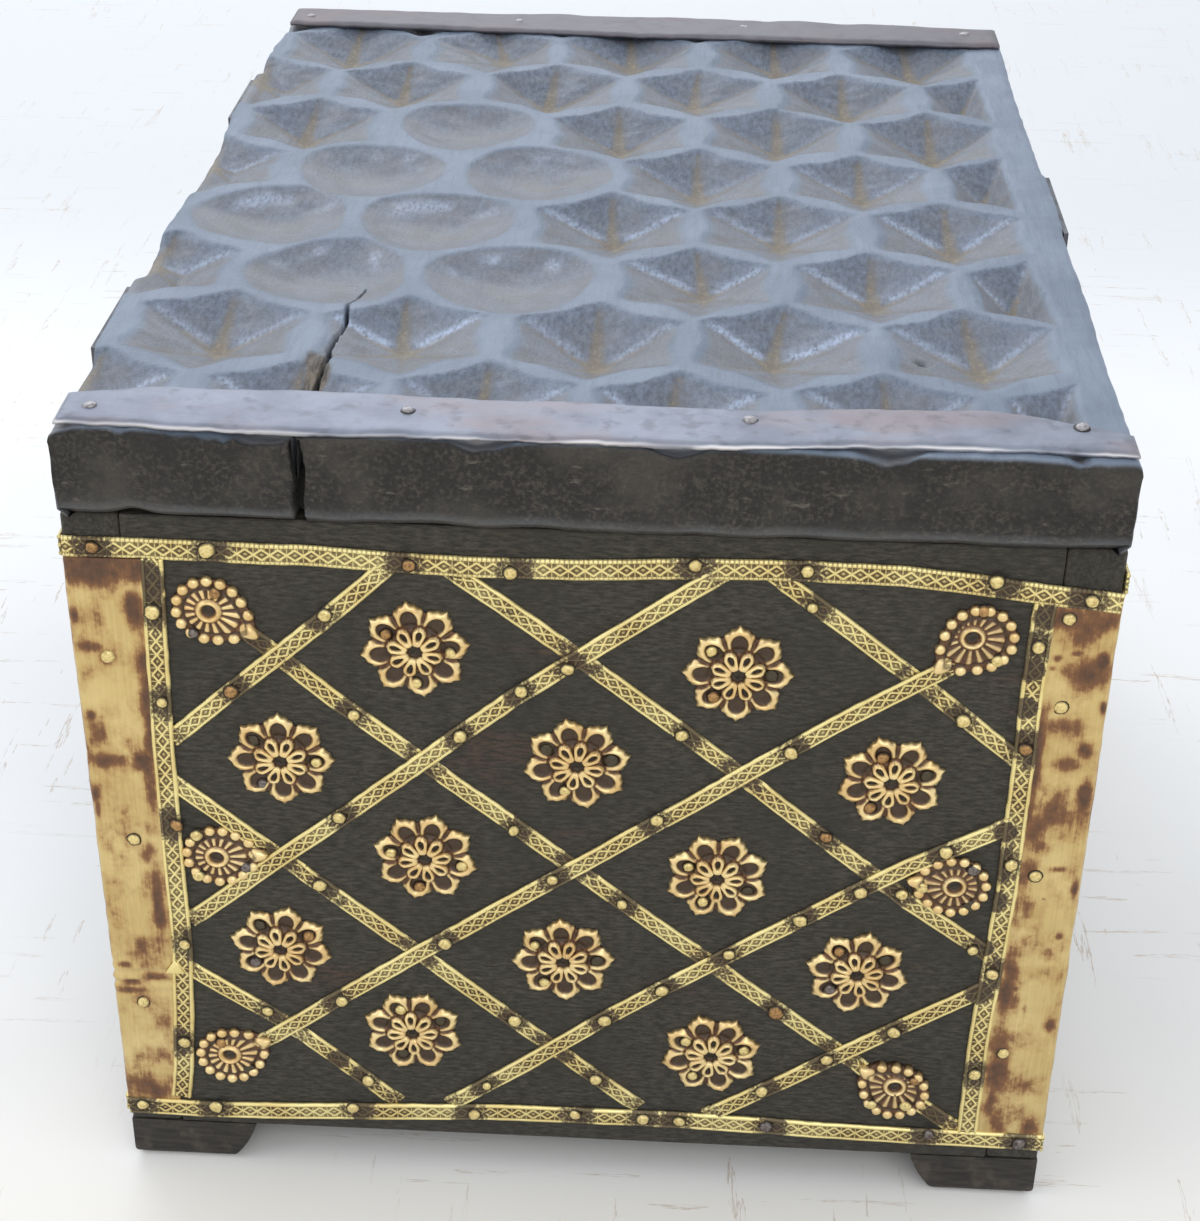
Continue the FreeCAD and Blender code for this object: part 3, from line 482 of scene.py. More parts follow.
def nailMetal():
    # Low domed heads: pale brass, some coppery or iron, on a dark ring round the foot that is painted shade of the
    # gap under the head
    g = Graph("nailMetal")
    iron, copper, foot = g.field("iron"), g.field("copper"), g.field("foot")
    fine = g.noise(0.7, 3)
    brass = g.mix(fine.rise(0.4, 0.7), (230, 212, 150), (192, 168, 110))
    base = g.mix(copper, brass, g.mix(fine.rise(0.4, 0.7), (176, 138, 90), (124, 94, 62)))
    base = g.mix(iron, base, g.mix(fine.rise(0.4, 0.7), (124, 116, 112), (78, 70, 68)))
    base = g.mix(iron.rise(1.1, 1.9), base, g.mix(fine.rise(0.4, 0.7), (164, 162, 164), (122, 118, 120)))
    # Painted shade: the dark ring round each head's foot; a hole is dark all over
    base = g.mix(foot * 0.95, base, (38, 31, 26))
    relief = g.bump(fine, 0.05)
    return g.finish(Base_Color=base, Metallic=0.7 - foot * 0.5, Roughness=0.36 + fine * 0.2, Normal=relief)


def fittingMetal(name, bright, dull, dark, metallic):
    # Old sheet or wire of one colour, cloudy and scratched
    g = Graph(name)
    cloud = g.noise(6, 5)
    fine = g.noise(0.8, 5, stretch=(1, 1, 4))
    base = g.mix(cloud.rise(0.35, 0.68), bright, dull)
    base = g.mix(g.noise(3, 5, shift=(4, 2, 0)).rise(0.54, 0.7) * 0.75, base, dark)
    base = g.mix(fine.rise(0.62, 0.8) * 0.3, base, bright)
    return g.finish(Base_Color=base, Metallic=metallic, Roughness=0.4 + cloud * 0.25, Normal=g.bump(fine, 0.06))


strip = {
    "lattice": 2.2, "border": 2.55, "thickness": 0.75, "mesh": 3.6, "net": 1.12, "rib": 1.05,
}

finishes = {
    "lid": lidWood(),
    "endBoard": boardWood("endBoardWood", (14, 1, 1)),
    "longBoard": boardWood("longBoardWood", (1, 14, 1)),
    "foot": footWood(),
    "strap": strapMetal(),
    "strip": stripBrass(),
    "ornament": ornamentBrass(),
    "sheet": sheetBrass(),
    "nail": nailMetal(),
    "hinge": fittingMetal("hingeBrass", (104, 107, 114), (74, 76, 82), (48, 44, 42), 0.55),
    "iron": fittingMetal("darkIron", (112, 106, 102), (78, 73, 70), (56, 42, 36), 0.6),
}
print("finishes made")


# Carved lid

lid = {
    "pitPitch": 44.0, "rowPitch": 36.8, "across": 40.5, "depth": 7.2, "firstRow": 19.0, "rows": 9, "shift": 2.2,
    "border": 10.0, "left": -114.8, "right": 114.9, "round": 2.2, "cell": 0.95, "hollowSides": 0.1,
    "softRim": 0.045,
    "scoops": ((2, 1), (2, 2), (3, 0), (3, 1), (4, 1), (4, 2), (5, 1)), "scoopDepth": 5.0, "scoopReach": 20.8,
    "crack": ((-156, -132, -100, -85, -66), (-62, -62.3, -60.8, -61.2, -59.5)), "crackLength": 90.0,
    "crackWidth": 0.85, "crackDepth": 10.0, "endCrack": 1.9, "knot": (72.5, -102.5), "seed": 11, "hinges": (-92, 71),
    "bites": ((-77, 4, 1.7), (-19, 5, 1.4), (35, 3.5, 1.2), (62, 7, 1.5), (103, 5, 1.2)),
}


def lidPits():
    # Middles of the pits row by row, alternate rows shifted by half a pitch
    pits = []
    for row in range(lid["rows"]):
        y = lid["firstRow"] - chest["lidHalfLength"] + row * lid["rowPitch"]
        offset = -lid["shift"] + (lid["pitPitch"] / 2 if row % 2 == 0 else 0)
        for column, move in enumerate(range(-3 if row % 2 == 0 else -2, 3)):
            pits.append((row, column, offset + move * lid["pitPitch"], y))
    return pits


def crackLine(y):
    return np.interp(y, *lid["crack"]) + ripple(y, 6, 5, 3) * 0.7


def crackWidth(y):
    share = np.clip(1 - (y + chest["lidHalfLength"]) / lid["crackLength"], 0, 1)
    return lid["crackWidth"] * share ** 0.7 * (1 + 0.4 * ripple(y, 7, 6, 6)) + 0.1 * (share > 0)


def scoopPit(u, v, row, column, jitter):
    # A round pit worn smooth: a bowl a little out of round, with a faint fold across it and a far side painted darker
    # as shade, with a painted glint near its rim
    wobble = 1 + 0.05 * np.sin(3 * np.arctan2(v, u) + jitter[4] * 3) + 0.03 * waver(u, v, 7, row * 9 + column)
    span = np.hypot(u, v * 0.98) / (lid["scoopReach"] * (1 + jitter[3] * 0.03) * wobble)
    inside = np.clip(1 - span, 0, 1)
    fall = (1 - np.clip(span, 0, 1) ** 2.0) ** 1.05 * lid["scoopDepth"]
    fall = fall + 0.35 * waver(u * 0.9 + v * 0.3, v, 5, row * 5 + column) * step(inside, 0.05, 0.3)
    fold = hump(v + 2 * np.sin(u / 5), 4.0) * step(span, 0.6, 0.1) * 0.12
    # Painted shade: the scoop's far wall is painted darker
    shadedFacet = 0.75 * step(v + 1.5 * waver(u, v, 4, row + 60), 0, 9) * step(inside, 0.0, 0.05)
    # Painted highlight: a glint near the scoop's far rim
    shine = 0.5 * hump(span - 0.72, 0.14) * step(v, 4, 10) * step(waver(u, v, 5, row + 70), -0.1, 0.5)
    return fall, fall / lid["scoopDepth"], fold, shine, shadedFacet


def starPit(u, v, row, column, jitter, room):
    # An upturned six-sided pyramid: the largest of its six plane functions falls from 1 at the rim to 0 at the low
    # point, and creases lie where the two largest are equal. Room is how far it may reach to the right.
    size = lid["across"] / 2 * (1 + jitter[3] * 0.02)
    lowU, lowV = jitter[4] * 1.6, jitter[5] * 1.4 - 0.6
    planes = []
    for k in range(6):
        across, along = math.cos(math.radians(60 * k)), math.sin(math.radians(60 * k))
        reach = size * (1 + 0.03 * math.sin(7 * k + row + 3 * column))
        if k == 0 and reach > room:
            reach = max(room, -12)
            lowU = min(lowU, reach - 7)
        planes.append(((u - lowU) * across + (v - lowV) * along) / (reach - lowU * across - lowV * along))
    # The two far planes get painted shade, and a painted glint most where the pit turns away from its flanks
    far, flank, close = (np.maximum(planes[a], planes[b]) for a, b in ((1, 2), (0, 3), (4, 5)))
    apart = (far - flank) * size
    right = planes[1] > planes[2]
    # Painted shade: a mask of the two far facets, which the finish paints darker
    shadedFacet = (1 - 0.25 * right) * step(apart, -1.0, 1.0) * step(far, 1.0, 0.96) * step(far - close, 0, 0.05)
    # Painted highlight: the glint along the far facets, strongest on the right one
    shine = np.maximum(hump(apart - 1.7, 1.2), (0.12 + 0.28 * right) * step(apart, 9, 1)) * (0.75 + 0.35 * right)
    shine = shine * shadedFacet * step(far, 0.12, 0.3) * step(far, 0.97, 0.86)
    shine = shine * (0.75 + 0.25 * math.sin(5 * row + 3 * column))
    wedge = hump(planes[1] - planes[2], 0.13 - 0.06 * np.clip(far, 0, 1)) * shadedFacet
    planes = np.sort(np.stack(planes), axis=0)
    # The pit's straight sides bow inward a little between its corners
    inside = 1 - planes[-1] * (1 + lid["hollowSides"] * (0.5 + 0.5 * np.cos(6 * np.arctan2(v, u))))
    soft = lid["softRim"]
    level = np.clip(0.5 * (inside + np.sqrt(inside ** 2 + soft ** 2)) - soft / 2, 0, 1) * (inside > -soft)
    fold = hump((planes[-1] - planes[-2]) * size, 1.5) * step(inside, 0.03, 0.3) * 0.8
    fold = np.maximum(fold, wedge * step(inside, 0.01, 0.08))
    sag = 0.5 * np.sin(np.pi * np.clip(inside, 0, 1)) * (1 - fold)
    fall = level * lid["depth"] * (1 + jitter[6] * 0.07) + fold * 0.4 * step(inside, 0, 0.5) + sag
    fall = fall + waver(u * 0.6 + v * 0.2, v * 1.4, 2.3, row * 7 + column + 40) * 0.2 * step(inside, 0.02, 0.15)
    return fall, level, fold, shine * (1 - wedge), shadedFacet


def carve(x, y):
    # Height of the carved top below its ridges, and beside it four fields of the pits: how deep, where they crease,
    # where they get painted glints and which facets get painted shade
    draw = np.random.default_rng(lid["seed"])
    height, depth, crease, glint, away = (np.zeros_like(x) for k in range(5))
    limit = chest["halfWidth"] - lid["border"]
    for row, column, px, py in lidPits():
        jitter = draw.normal(0, 1, 8)
        px, py = px + jitter[0] * 0.7, py + jitter[1] * 0.7
        near = (abs(x - px) < 26) & (abs(y - py) < 28)
        u, v = x[near] - px, y[near] - py
        turn = math.radians(jitter[2] * 2.0)
        u, v = u * math.cos(turn) - v * math.sin(turn), u * math.sin(turn) + v * math.cos(turn)
        if (row, column) in lid["scoops"]:
            fall, level, fold, shine, shadedFacet = scoopPit(u, v, row, column, jitter)
        else:
            fall, level, fold, shine, shadedFacet = starPit(u, v, row, column, jitter, limit - px)
        deeper = -fall < height[near]
        crease[near] = np.maximum(crease[near], fold)
        shine = shine * step(py, 90, -80)
        for field, values in ((height, -fall), (depth, np.clip(level, 0, 1)), (glint, shine), (away, shadedFacet)):
            field[near] = np.where(deeper, values, field[near])
    worn = hump(np.hypot((x + 50) / 62, (y + 8) / 80), 1.0)
    ridges = -0.45 - 0.35 * waver(x, y, 17, 3) - 0.12 * waver(x, y, 5, 8) - 0.5 * worn
    height = height * (1 - 0.12 * worn) + ridges - 0.05 * waver(x, y, 1.9, 21)
    return height, depth, crease, glint, away


def spaced(low, high, cell, closer=()):
    # Points from low to high about a cell apart, with finer runs given as (from, to, cell)
    marks = list(np.linspace(low, high, int(round((high - low) / cell)) + 1))
    for start, stop, fine in closer:
        marks = [m for m in marks if not start < m < stop]
        marks += list(np.arange(start, stop + fine / 2, fine))
    return np.array(sorted(set(np.round(marks, 4))))


def lidChips(x):
    # How far the near end's upper edge is broken away under the strap
    ragged = 0.9 * np.clip(ripple(x, 3.1, 61) + 0.25, 0, 1) * step(x, -58, -66) * step(x, -112, -104)
    bites = sum(deep * hump(x - at, wide) for at, wide, deep in lid["bites"])
    return ragged + bites * (0.7 + 0.5 * ripple(x, 2.2, 62, 9))


def lidTop():
    # The carved top as a grid of points, with its fields; its rim is rounded, chipped and a little uneven
    half = chest["lidHalfLength"]
    edges = [0, 0.2, 0.55, 1.1, 1.8]
    xs = spaced(lid["left"] + 2.8, lid["right"] - 2.8, lid["cell"], [(-65.0, -57.0, 0.34)])
    xs = np.concatenate([[lid["left"] + e for e in edges], xs, [lid["right"] - e for e in edges[::-1]]])
    ys = spaced(-half + 2, half - 2, lid["cell"] * 1.08, [(-half + 2, -half + 14, 2.0), (half - 12, half - 2, 2.3)])
    ys = np.concatenate([[-half, -half + 0.4, -half + 1.1], ys, [half - 1.1, half - 0.4, half]])
    x, y = np.meshgrid(xs, ys)
    side = np.abs((x - (lid["left"] + lid["right"]) / 2) / ((lid["right"] - lid["left"]) / 2)) ** 8
    fitted = np.where(x < 0, sum(step(abs(y - hinge), 26, 19) for hinge in lid["hinges"]), step(abs(y), 24, 18))
    sway = np.where(x < 0, 0.75 + 0.75 * ripple(y, 15, 31) + 0.18 * ripple(y, 4, 32),
                    0.35 + 0.35 * ripple(y, 34, 33) + 0.12 * ripple(y, 4, 34)) * (1 - 0.85 * fitted)
    x = x + np.where(x < 0, 1, -1) * side * sway
    height, depth, crease, glint, away = carve(x, y)
    # Toward the left edge and both ends the pits are shallow, and shallowest where the hinges are let in
    left = x - x[:, :1]
    height = np.maximum(height, -2.2 + 1.3 * fitted - 0.55 * np.clip(left - 1.5, 0, 40))
    height = np.maximum(height, -0.6 - 0.55 * np.minimum(half - y, y + half + 4))
    fromEdge = np.minimum(left, x[:, -1:] - x)
    ease = np.clip(1 - fromEdge / lid["round"], 0, 1)
    height -= lid["round"] * (1 - np.sqrt(1 - ease ** 2)) * 0.8 * (1 - 0.75 * fitted)
    split = step(abs(x - crackLine(y)), crackWidth(y) / 2 + 0.2, crackWidth(y) / 2 - 0.05) * (crackWidth(y) > 0)
    height = height * (1 - split) - lid["crackDepth"] * split
    knot = step(np.hypot((x - lid["knot"][0]) / 1.5, y - lid["knot"][1]), 1.5, 0.5)
    height -= 1.2 * knot
    torn = step(abs(x + 63 + ripple(y, 4, 35)), 3.4, 2.2) * step(abs(y + 121), 10.5, 8)
    height -= torn * (0.35 + 0.35 * waver(x * 2.5, y * 0.5, 2.2, 36))
    fromEnd = y + half
    height -= lidChips(x) * step(fromEnd, 5.5, 0.0)
    height -= 0.5 * step(fromEnd, 1.0, 0.0) + 0.5 * step(half - y, 1.0, 0.0)
    height = np.minimum(height, -0.02)
    raw = step(fromEnd, 1.6, 0.2) + step(half - y, 1.6, 0.2)
    fields = {"depth": depth, "crease": crease, "raw": raw, "split": np.maximum(split, knot * 0.9),
              "bare": torn * (1 - split), "glint": glint, "far": away}
    return np.stack([x, y, chest["lidTop"] + height], -1), fields


def lidSide(name, line, outward, fields):
    # One side of the lid, from a line of the top's rim down to a worn foot; the near one has the open crack
    share = np.array([0, 0.06, 0.14, 0.26, 0.4, 0.54, 0.68, 0.8, 0.9, 0.96, 1.0])[:, None]
    run = line[:, 1] if outward[0] else line[:, 0]
    foot = chest["lidUnder"] + 0.5 + 0.45 * ripple(run, 11, 71)
    foot = foot + (1.4 * hump(run + 98, 4) if name == "near" else 0)
    z = line[None, :, 2] * (1 - share) + foot * share
    rough = 0.5 * waver(run[None] + z * 0, z, 6, 72) + 0.3 * waver(run[None] + z * 0, z, 2.2, 73) + 0.7
    inward = rough * np.sin(np.pi * share) ** 0.5 * 0.7 + 2.6 * step(share, 0.86, 1.0) ** 1.5
    gap = np.zeros_like(z)
    if name == "near":
        middle = lid["crack"][1][0] + ripple(z, 5, 74) * 0.8 * np.sin(np.pi * share)
        # Painted shade: the crack in the end is painted near-black through the split field
        gap = step(abs(run[None] - middle), lid["endCrack"] / 2 + 0.3, lid["endCrack"] / 2 - 0.1)
        gap = np.where(share == 0, fields["split"][0][None], gap)
        inward = inward + gap * 5.0 * (share > 0)
    bevel = inward * (share > 0)
    points = np.stack([line[None, :, 0] - outward[0] * bevel, line[None, :, 1] - outward[1] * bevel, z], -1)
    coarse = z * 0 + (0.6 if outward[0] else 1.0)
    coarse = np.where(share > 0.97, 1.0, coarse - 0.4 * hump(share - 0.9, 0.06))
    return points, {**{k: z * 0 for k in fields}, "depth": z * 0 + 0.2, "raw": coarse, "split": gap}


def joinCorners(loops):
    # The sides meet at the four corners: both columns there take one shared line
    for end, row in (("near", 0), ("far", -1)):
        for flank, column in (("left", 0), ("right", -1)):
            shared = loops[end][:, column] * 0.5 + loops[flank][:, row] * 0.5
            shared[0] = loops[flank][0, row]
            loops[end][:, column] = shared
            loops[flank][:, row] = shared


def lidPatches():
    # The top, the four sides and the underside: a band in from the sides' feet to a rectangle, then one flat face
    top, fields = lidTop()
    patches = [{"points": top.reshape(-1, 3), "faces": [gridFaces(*top.shape[:2])], "fields": fields}]
    rims = (("left", top[:, 0], (-1, 0)), ("right", top[:, -1], (1, 0)),
            ("near", top[0], (0, -1)), ("far", top[-1], (0, 1)))
    made = {name: lidSide(name, line, outward, fields) for name, line, outward in rims}
    loops = {name: points for name, (points, _) in made.items()}
    joinCorners(loops)
    for name, points in loops.items():
        faces = gridFaces(*points.shape[:2], flip=name in ("near", "right"))
        patches.append({"points": points.reshape(-1, 3), "faces": [faces], "fields": made[name][1]})
    near, right, far, left = (loops[name][-1] for name in ("near", "right", "far", "left"))
    ring = np.concatenate([near, right[1:], far[::-1][1:], left[::-1][1:-1]])
    count = len(ring)
    flat = np.column_stack([
        np.clip(ring[:, 0], lid["left"] + 6, lid["right"] - 6),
        np.clip(ring[:, 1], 9 - chest["lidHalfLength"], chest["lidHalfLength"] - 9),
        np.full(count, chest["lidUnder"] + 0.45),
    ])
    patches.append({
        "points": np.concatenate([ring, flat]),
        "faces": [gridFaces(2, count, wrap=True, flip=True), count + np.arange(count)[::-1][None]],
        "fields": {k: np.full(2 * count, 1.0 if k == "raw" else 0.0) for k in fields},
    })
    return patches


def weld(piece, reach=0.01):
    # Joins the points that neighbouring patches share
    import bmesh
    loose = bmesh.new()
    loose.from_mesh(piece.data)
    bmesh.ops.remove_doubles(loose, verts=loose.verts, dist=reach / 1000)
    loose.to_mesh(piece.data)
    loose.free()


carvedLid = buildPiece("carved_lid", lidPatches(), finishes["lid"], "lid", ["lid_board"])
weld(carvedLid)
print("lid carved:", len(carvedLid.data.polygons), "faces")


# Straps across the ends of the lid

straps = {
    "top": 211.55, "cell": 0.9,
    "nearFront": ((-113.2, -154.2), (-62.6, -155.8), (-8.3, -155.0), (22.9, -155.9), (56.1, -152.6), (114.2, -152.4)),
    "nearRear": ((-113.2, -140.2), (-96, -135.8), (-60.4, -135.3), (-20.4, -136.0), (37.6, -137.3), (65.6, -134.3),
                 (87.4, -134.0), (103.2, -138.5), (114.2, -143.5)),
    "farFront": ((-112.6, 139.7), (-60, 137.8), (0, 136.2), (60, 135.4), (114.0, 135.3)),
    "farRear": ((-112.6, 155.7), (-60, 155.9), (0, 155.9), (50, 155.6), (90, 154.0), (114.0, 152.6)),
    "nails": ((-106.8, -147.3), (-39.3, -144.4), (33.3, -143.5), (103.6, -141.4)),
}


def strapPatch(front, rear, seed, worn, brown, lift):
    x = spaced(front[0][0], front[-1][0], straps["cell"])
    share = np.array([0, 0.02, 0.05, 0.1, 0.18, 0.28, 0.38, 0.5, 0.62, 0.72, 0.82, 0.9, 0.95, 0.98, 1.0])
    low = np.interp(x, *zip(*front)) + 0.35 * ripple(x, 5, seed) + 0.2 * ripple(x, 1.7, seed + 1)
    high = np.minimum(np.interp(x, *zip(*rear)) + 0.35 * ripple(x, 6, seed + 2), chest["lidHalfLength"] - 0.05)
    y = low[:, None] + (high - low)[:, None] * share
    xs = x[:, None] + 0 * y
    edge = np.minimum(share, 1 - share)[None] * (high - low)[:, None]
    front = share[None] * (high - low)[:, None]
    ends = np.minimum(xs - x[0], x[-1] - xs)
    rim = np.minimum(edge, ends)
    out = 0.28 * waver(xs, y, 13, seed + 3) + 0.10 * waver(xs, y, 4, seed + 4)
    out = out - 0.45 * hump(rim, 0.6) - 0.2 * step(rim, 3, 0)
    z = np.minimum(straps["top"] + lift + out, straps["top"] + 0.35 + lift)
    top = np.stack([xs, y, z], -1)
    under = np.concatenate([top[:, :1, :2], top[:, -1:, :2]], axis=1)
    under = np.concatenate([under, np.full((len(x), 2, 1), chest["lidTop"] - 0.25)], -1)
    pale = worn * step(np.minimum(front, ends), 1.0, 0.1) * (0.65 + 0.35 * waver(xs, y, 9, seed + 5))
    return bandPatch(top, under, {"edge": pale, "brown": xs * 0 + brown})


for end, seed, worn, brown, lift in (("near", 101, 1.0, 0.0, 0.0), ("far", 111, 0.0, 1.2, 0.35)):
    patch = strapPatch(straps[end + "Front"], straps[end + "Rear"], seed, worn, brown, lift)
    buildPiece("strap_" + end, [patch], finishes["strap"], "lid", ["lid_strap_" + end])
print("straps made")


# Strips, rosettes and drops of the sides

panel = {
    "foot": 20.8, "top": 177.1, "middle": 98.95, "pitch": 35.2, "rise": 28.0, "inner": 22.0, "under": 1.5,
    "dropInset": 12, "dropTurn": 35, "dropReach": 11.2, "rosetteReach": 12.3, "apart": 23.7,
    "hasp": (0, 151), "haspRoom": 18.4, "nailGap": 36, "nailInset": 5.5, "nailApart": 5, "dropRoom": 12.7,
    "sheetNails": (59.5, 138.5), "sheetInset": 9.7, "uprightInset": 19.5,
}
halves = {"near": 115.0, "far": 115.0, "front": 152.0, "back": 152.0}
rising = {"near": (
    ((-93.4, 131.7), (-77.0, 146.8), (-60.4, 161.8), (-44.2, 177.2)),
    ((-93.1, 79.3), (-74.0, 95.8), (-54.7, 111.9), (-35.7, 128.6), (-16.5, 144.9), (3.5, 160.2),
     (23.6, 175.4), (27.5, 178.0)),
    ((-77.9, 41.7), (-58.7, 56.5), (-39.3, 71.2), (-19.7, 85.5), (-0.1, 99.9), (19.4, 114.3), (38.9, 128.9),
     (58.5, 143.3), (78.8, 156.7)),
    ((-31.4, 24.1), (-13.7, 37.6), (3.6, 51.5), (21.3, 64.8), (39.4, 77.7), (57.5, 90.5), (75.8, 103.1),
     (95.0, 114.3)),
    ((33.1, 24.1), (53.3, 37.9), (73.4, 52.0), (93.8, 65.6)),
)}
falling = {"near": (
    ((41.5, 177.9), (59.8, 163.8), (77.9, 149.4), (95.6, 134.6)),
    ((-29.2, 176.5), (-11.2, 163.0), (6.6, 149.3), (24.3, 135.3), (41.7, 121.0), (58.9, 106.5),
     (76.2, 92.1), (94.4, 78.8)),
    ((-75.2, 159.0), (-57.7, 143.2), (-39.5, 128.2), (-21.2, 113.4), (-2.9, 98.4), (15.3, 83.5),
     (33.6, 68.7), (52.1, 54.0), (70.5, 39.3), (81.0, 31.8), (92.0, 23.5)),
    ((-95.2, 117.8), (-77.4, 102.4), (-59.3, 87.2), (-41.4, 71.9), (-23.5, 56.5), (-5.5, 41.2), (12.5, 25.9)),
    ((-95.4, 62.3), (-78.6, 50.9), (-63.1, 37.9), (-48.0, 24.3)),
)}
topLines = {"near": (
    (-115, 180.0), (-84, 179.9), (-60, 179.6), (-40, 178.6), (-22.8, 178.3), (0, 178.7), (22.8, 179.9),
    (45.7, 180.4), (68.5, 180.1), (85, 178.6), (99, 176.8), (115, 175.2),
)}
footLines = {"near": (
    (-115, 17.6), (-91.2, 17.5), (-68.4, 18.4), (-45.6, 19.6), (-22.8, 20.7), (0, 21.1), (22.8, 21.0),
    (45.6, 20.4), (68.4, 19.6), (91.2, 19.2), (115, 18.9),
)}
uprights = {"near": (
    ((-101.5, 21.5), (-100, 31.7), (-98.6, 48.3), (-97.4, 68), (-97.3, 100), (-97.1, 125), (-96.3, 150),
     (-95.5, 177.5)),
    ((96.4, 21.5), (96.4, 50.2), (97.5, 74.3), (98.4, 98.5), (98.5, 122.7), (98.3, 146.8), (98.6, 171),
     (98.9, 174.5)),
)}
# Middle of each rosette, and the turn of its petals in degrees
rosettes = {"near": (
    (-38.3, 156.7, 8.4), (33.4, 153.6, 0), (-70, 125.9, 1), (-2.1, 127.8, 12.4), (69.3, 126.4, 17.2),
    (-37.5, 99.7, -13.3), (31, 97.5, 22.5), (-73.2, 70.9, -12.2), (-4.9, 70.7, 4), (65.5, 70.6, -11),
    (-41.9, 46.3, -18.7), (31.6, 43.1, 16),
)}
# Small nails in the cups of each rosette, from its middle
cupNails = (
    ((-6.4, 3.9, "copper"), (7.9, -0.4, "gold"), (0, -8.6, "gold")),
    ((-6.1, 5.8, "gold"), (7.3, -0.2, "hole"), (-5.2, -6.1, "copper")),
    ((-6.1, 4.9, "hole"), (8.2, -0.4, "gold"), (-4.6, -7.0, "iron")),
    ((-7.1, 3.3, "hole"), (7.8, 1.2, "hole"), (-2.7, -7.5, "gold")),
    ((-2.4, 6.4, "copper"), (7.9, 1.9, "hole"), (-4.3, -7.3, "copper")),
    ((-8.0, 1.0, "gold"), (8.6, -2.0, "gold"), (-1.4, -8.6, "copper")),
    ((-6.8, 2.7, "gold"), (7.3, -3.9, "hole"), (-3.1, -7.3, "gold")),
    ((-4.8, 6.4, "hole"), (7.0, 3.9, "copper"), (-6.4, -4.8, "iron")),
    ((-6.9, 4.3, "gold"), (8.2, -0.1, "hole"), (-4.4, -7.2, "gold")),
    ((-4.6, 6.4, "copper"), (6.5, 4.1, "hole"), (-6.1, -5.3, "iron")),
    ((-2.7, 6.8, "gold"), (6.9, 3.8, "hole"), (-2.7, -7.3, "hole")),
    ((-6.1, 3.9, "gold"), (8.1, 1.8, "gold"), (-4.3, -7.0, "gold")),
)
drops = {"near": (
    (-83.8, 165.0, -74.2, 159.4), (85.6, 165.0, 77.2, 157.2), (-86.6, 97.6, -76.0, 98.6),
    (86.2, 97.6, 76.4, 98.9), (-88.0, 35.7, -78.6, 41.2), (77.4, 34.2, 69.3, 41.0),
)}
dropNails = (
    ((1.7, 4.6, "copper"), (-3.9, -5.8, "iron")), ((0.1, 7.4, "copper"), (4.2, -5.1, "gold")),
    ((-4.6, 6.1, "gold"), (-4.9, -5.8, "gold"), (6.7, -2.6, "iron")),
    ((4.0, 5.2, "iron"), (-7.5, -0.3, "gold"), (4.2, -5.3, "hole")), ((-1.9, 4.4, "copper"), (4.5, -3.9, "hole")),
    ((-5.5, -4.0, "gold"), (4.5, 4.3, "copper"), (2.9, -3.9, "gold")),
)
nails = {"near": (
    (-108.2, 180.1), (-83, 180.4), (-39, 178.5), (-16.9, 177.5), (23, 181.1), (47.1, 180.7), (87.7, 179.8),
    (108.5, 175.9), (-96.4, 164.2), (-96.2, 140.5), (-95.6, 106.3), (-96.6, 70.9), (-99.1, 39.7),
    (98.3, 163.8), (98.4, 137), (98.6, 104.8), (97.5, 72.4), (96.4, 40.8), (-107.5, 152), (-106.2, 101.4),
    (-108.4, 51.9), (104.2, 170.9), (105, 148.2), (104.6, 101.6), (102.8, 47.6), (-111.5, 18.4), (-92.7, 18.8),
    (-57.7, 20.6), (-27.1, 20.2), (-1.7, 21.7), (15.4, 21.2), (24.5, 21), (46.3, 20.6), (86.9, 20.6),
    (109.6, 18.6), (-80.3, 144.2), (-58, 165.1), (-57.3, 110.5), (-28.7, 134.5), (-14.8, 147.2), (-4.3, 153.5),
    (-59.1, 55.2), (-33.3, 74.5), (-7.6, 95), (16.5, 113.4), (46.2, 133.5), (-23.8, 30), (5.3, 52.7),
    (19, 62.9), (34.7, 75), (51, 86), (64.6, 95), (83.3, 107.7), (44.7, 32.2), (60, 43.4), (75.7, 53.1),
    (48.8, 171.5), (84, 143.7), (21.5, 136.9), (55.6, 110.3), (74.3, 94.8), (92.3, 79.1), (-52.7, 138.9),
    (-16.6, 108.6), (8.9, 88.4), (46.9, 57.3), (-62.8, 90.2), (-16.7, 51.2), (3.4, 33.3), (-77.6, 50.8),
    (-53.7, 29.6),
)}
ironNails = {(46.3, 20.6), (86.9, 20.6), (109.6, 18.6)}
copperNails = {
    (-108.2, 180.1), (-39, 178.5), (98.4, 137), (-80.3, 144.2), (55.6, 110.3), (-95.6, 106.3), (46.9, 57.3),
}
hingeSpans = ((-110.2, -73.8), (52.8, 89.2))


def clipLine(origin, slope, half):
    # The part of a straight line through (origin, middle) that lies within a side's panel
    reach = half - panel["inner"] + panel["under"]
    ends = []
    for z in (panel["foot"] - panel["under"], panel["top"] + panel["under"]):
        ends.append((origin + (z - panel["middle"]) / slope, z))
    low, high = sorted(ends)
    kept = []
    for end in (low, high):
        u = min(max(end[0], -reach), reach)
        kept.append((u, end[1] + (u - end[0]) * slope))
    return tuple(kept) if kept[1][0] - kept[0][0] > 12 else None


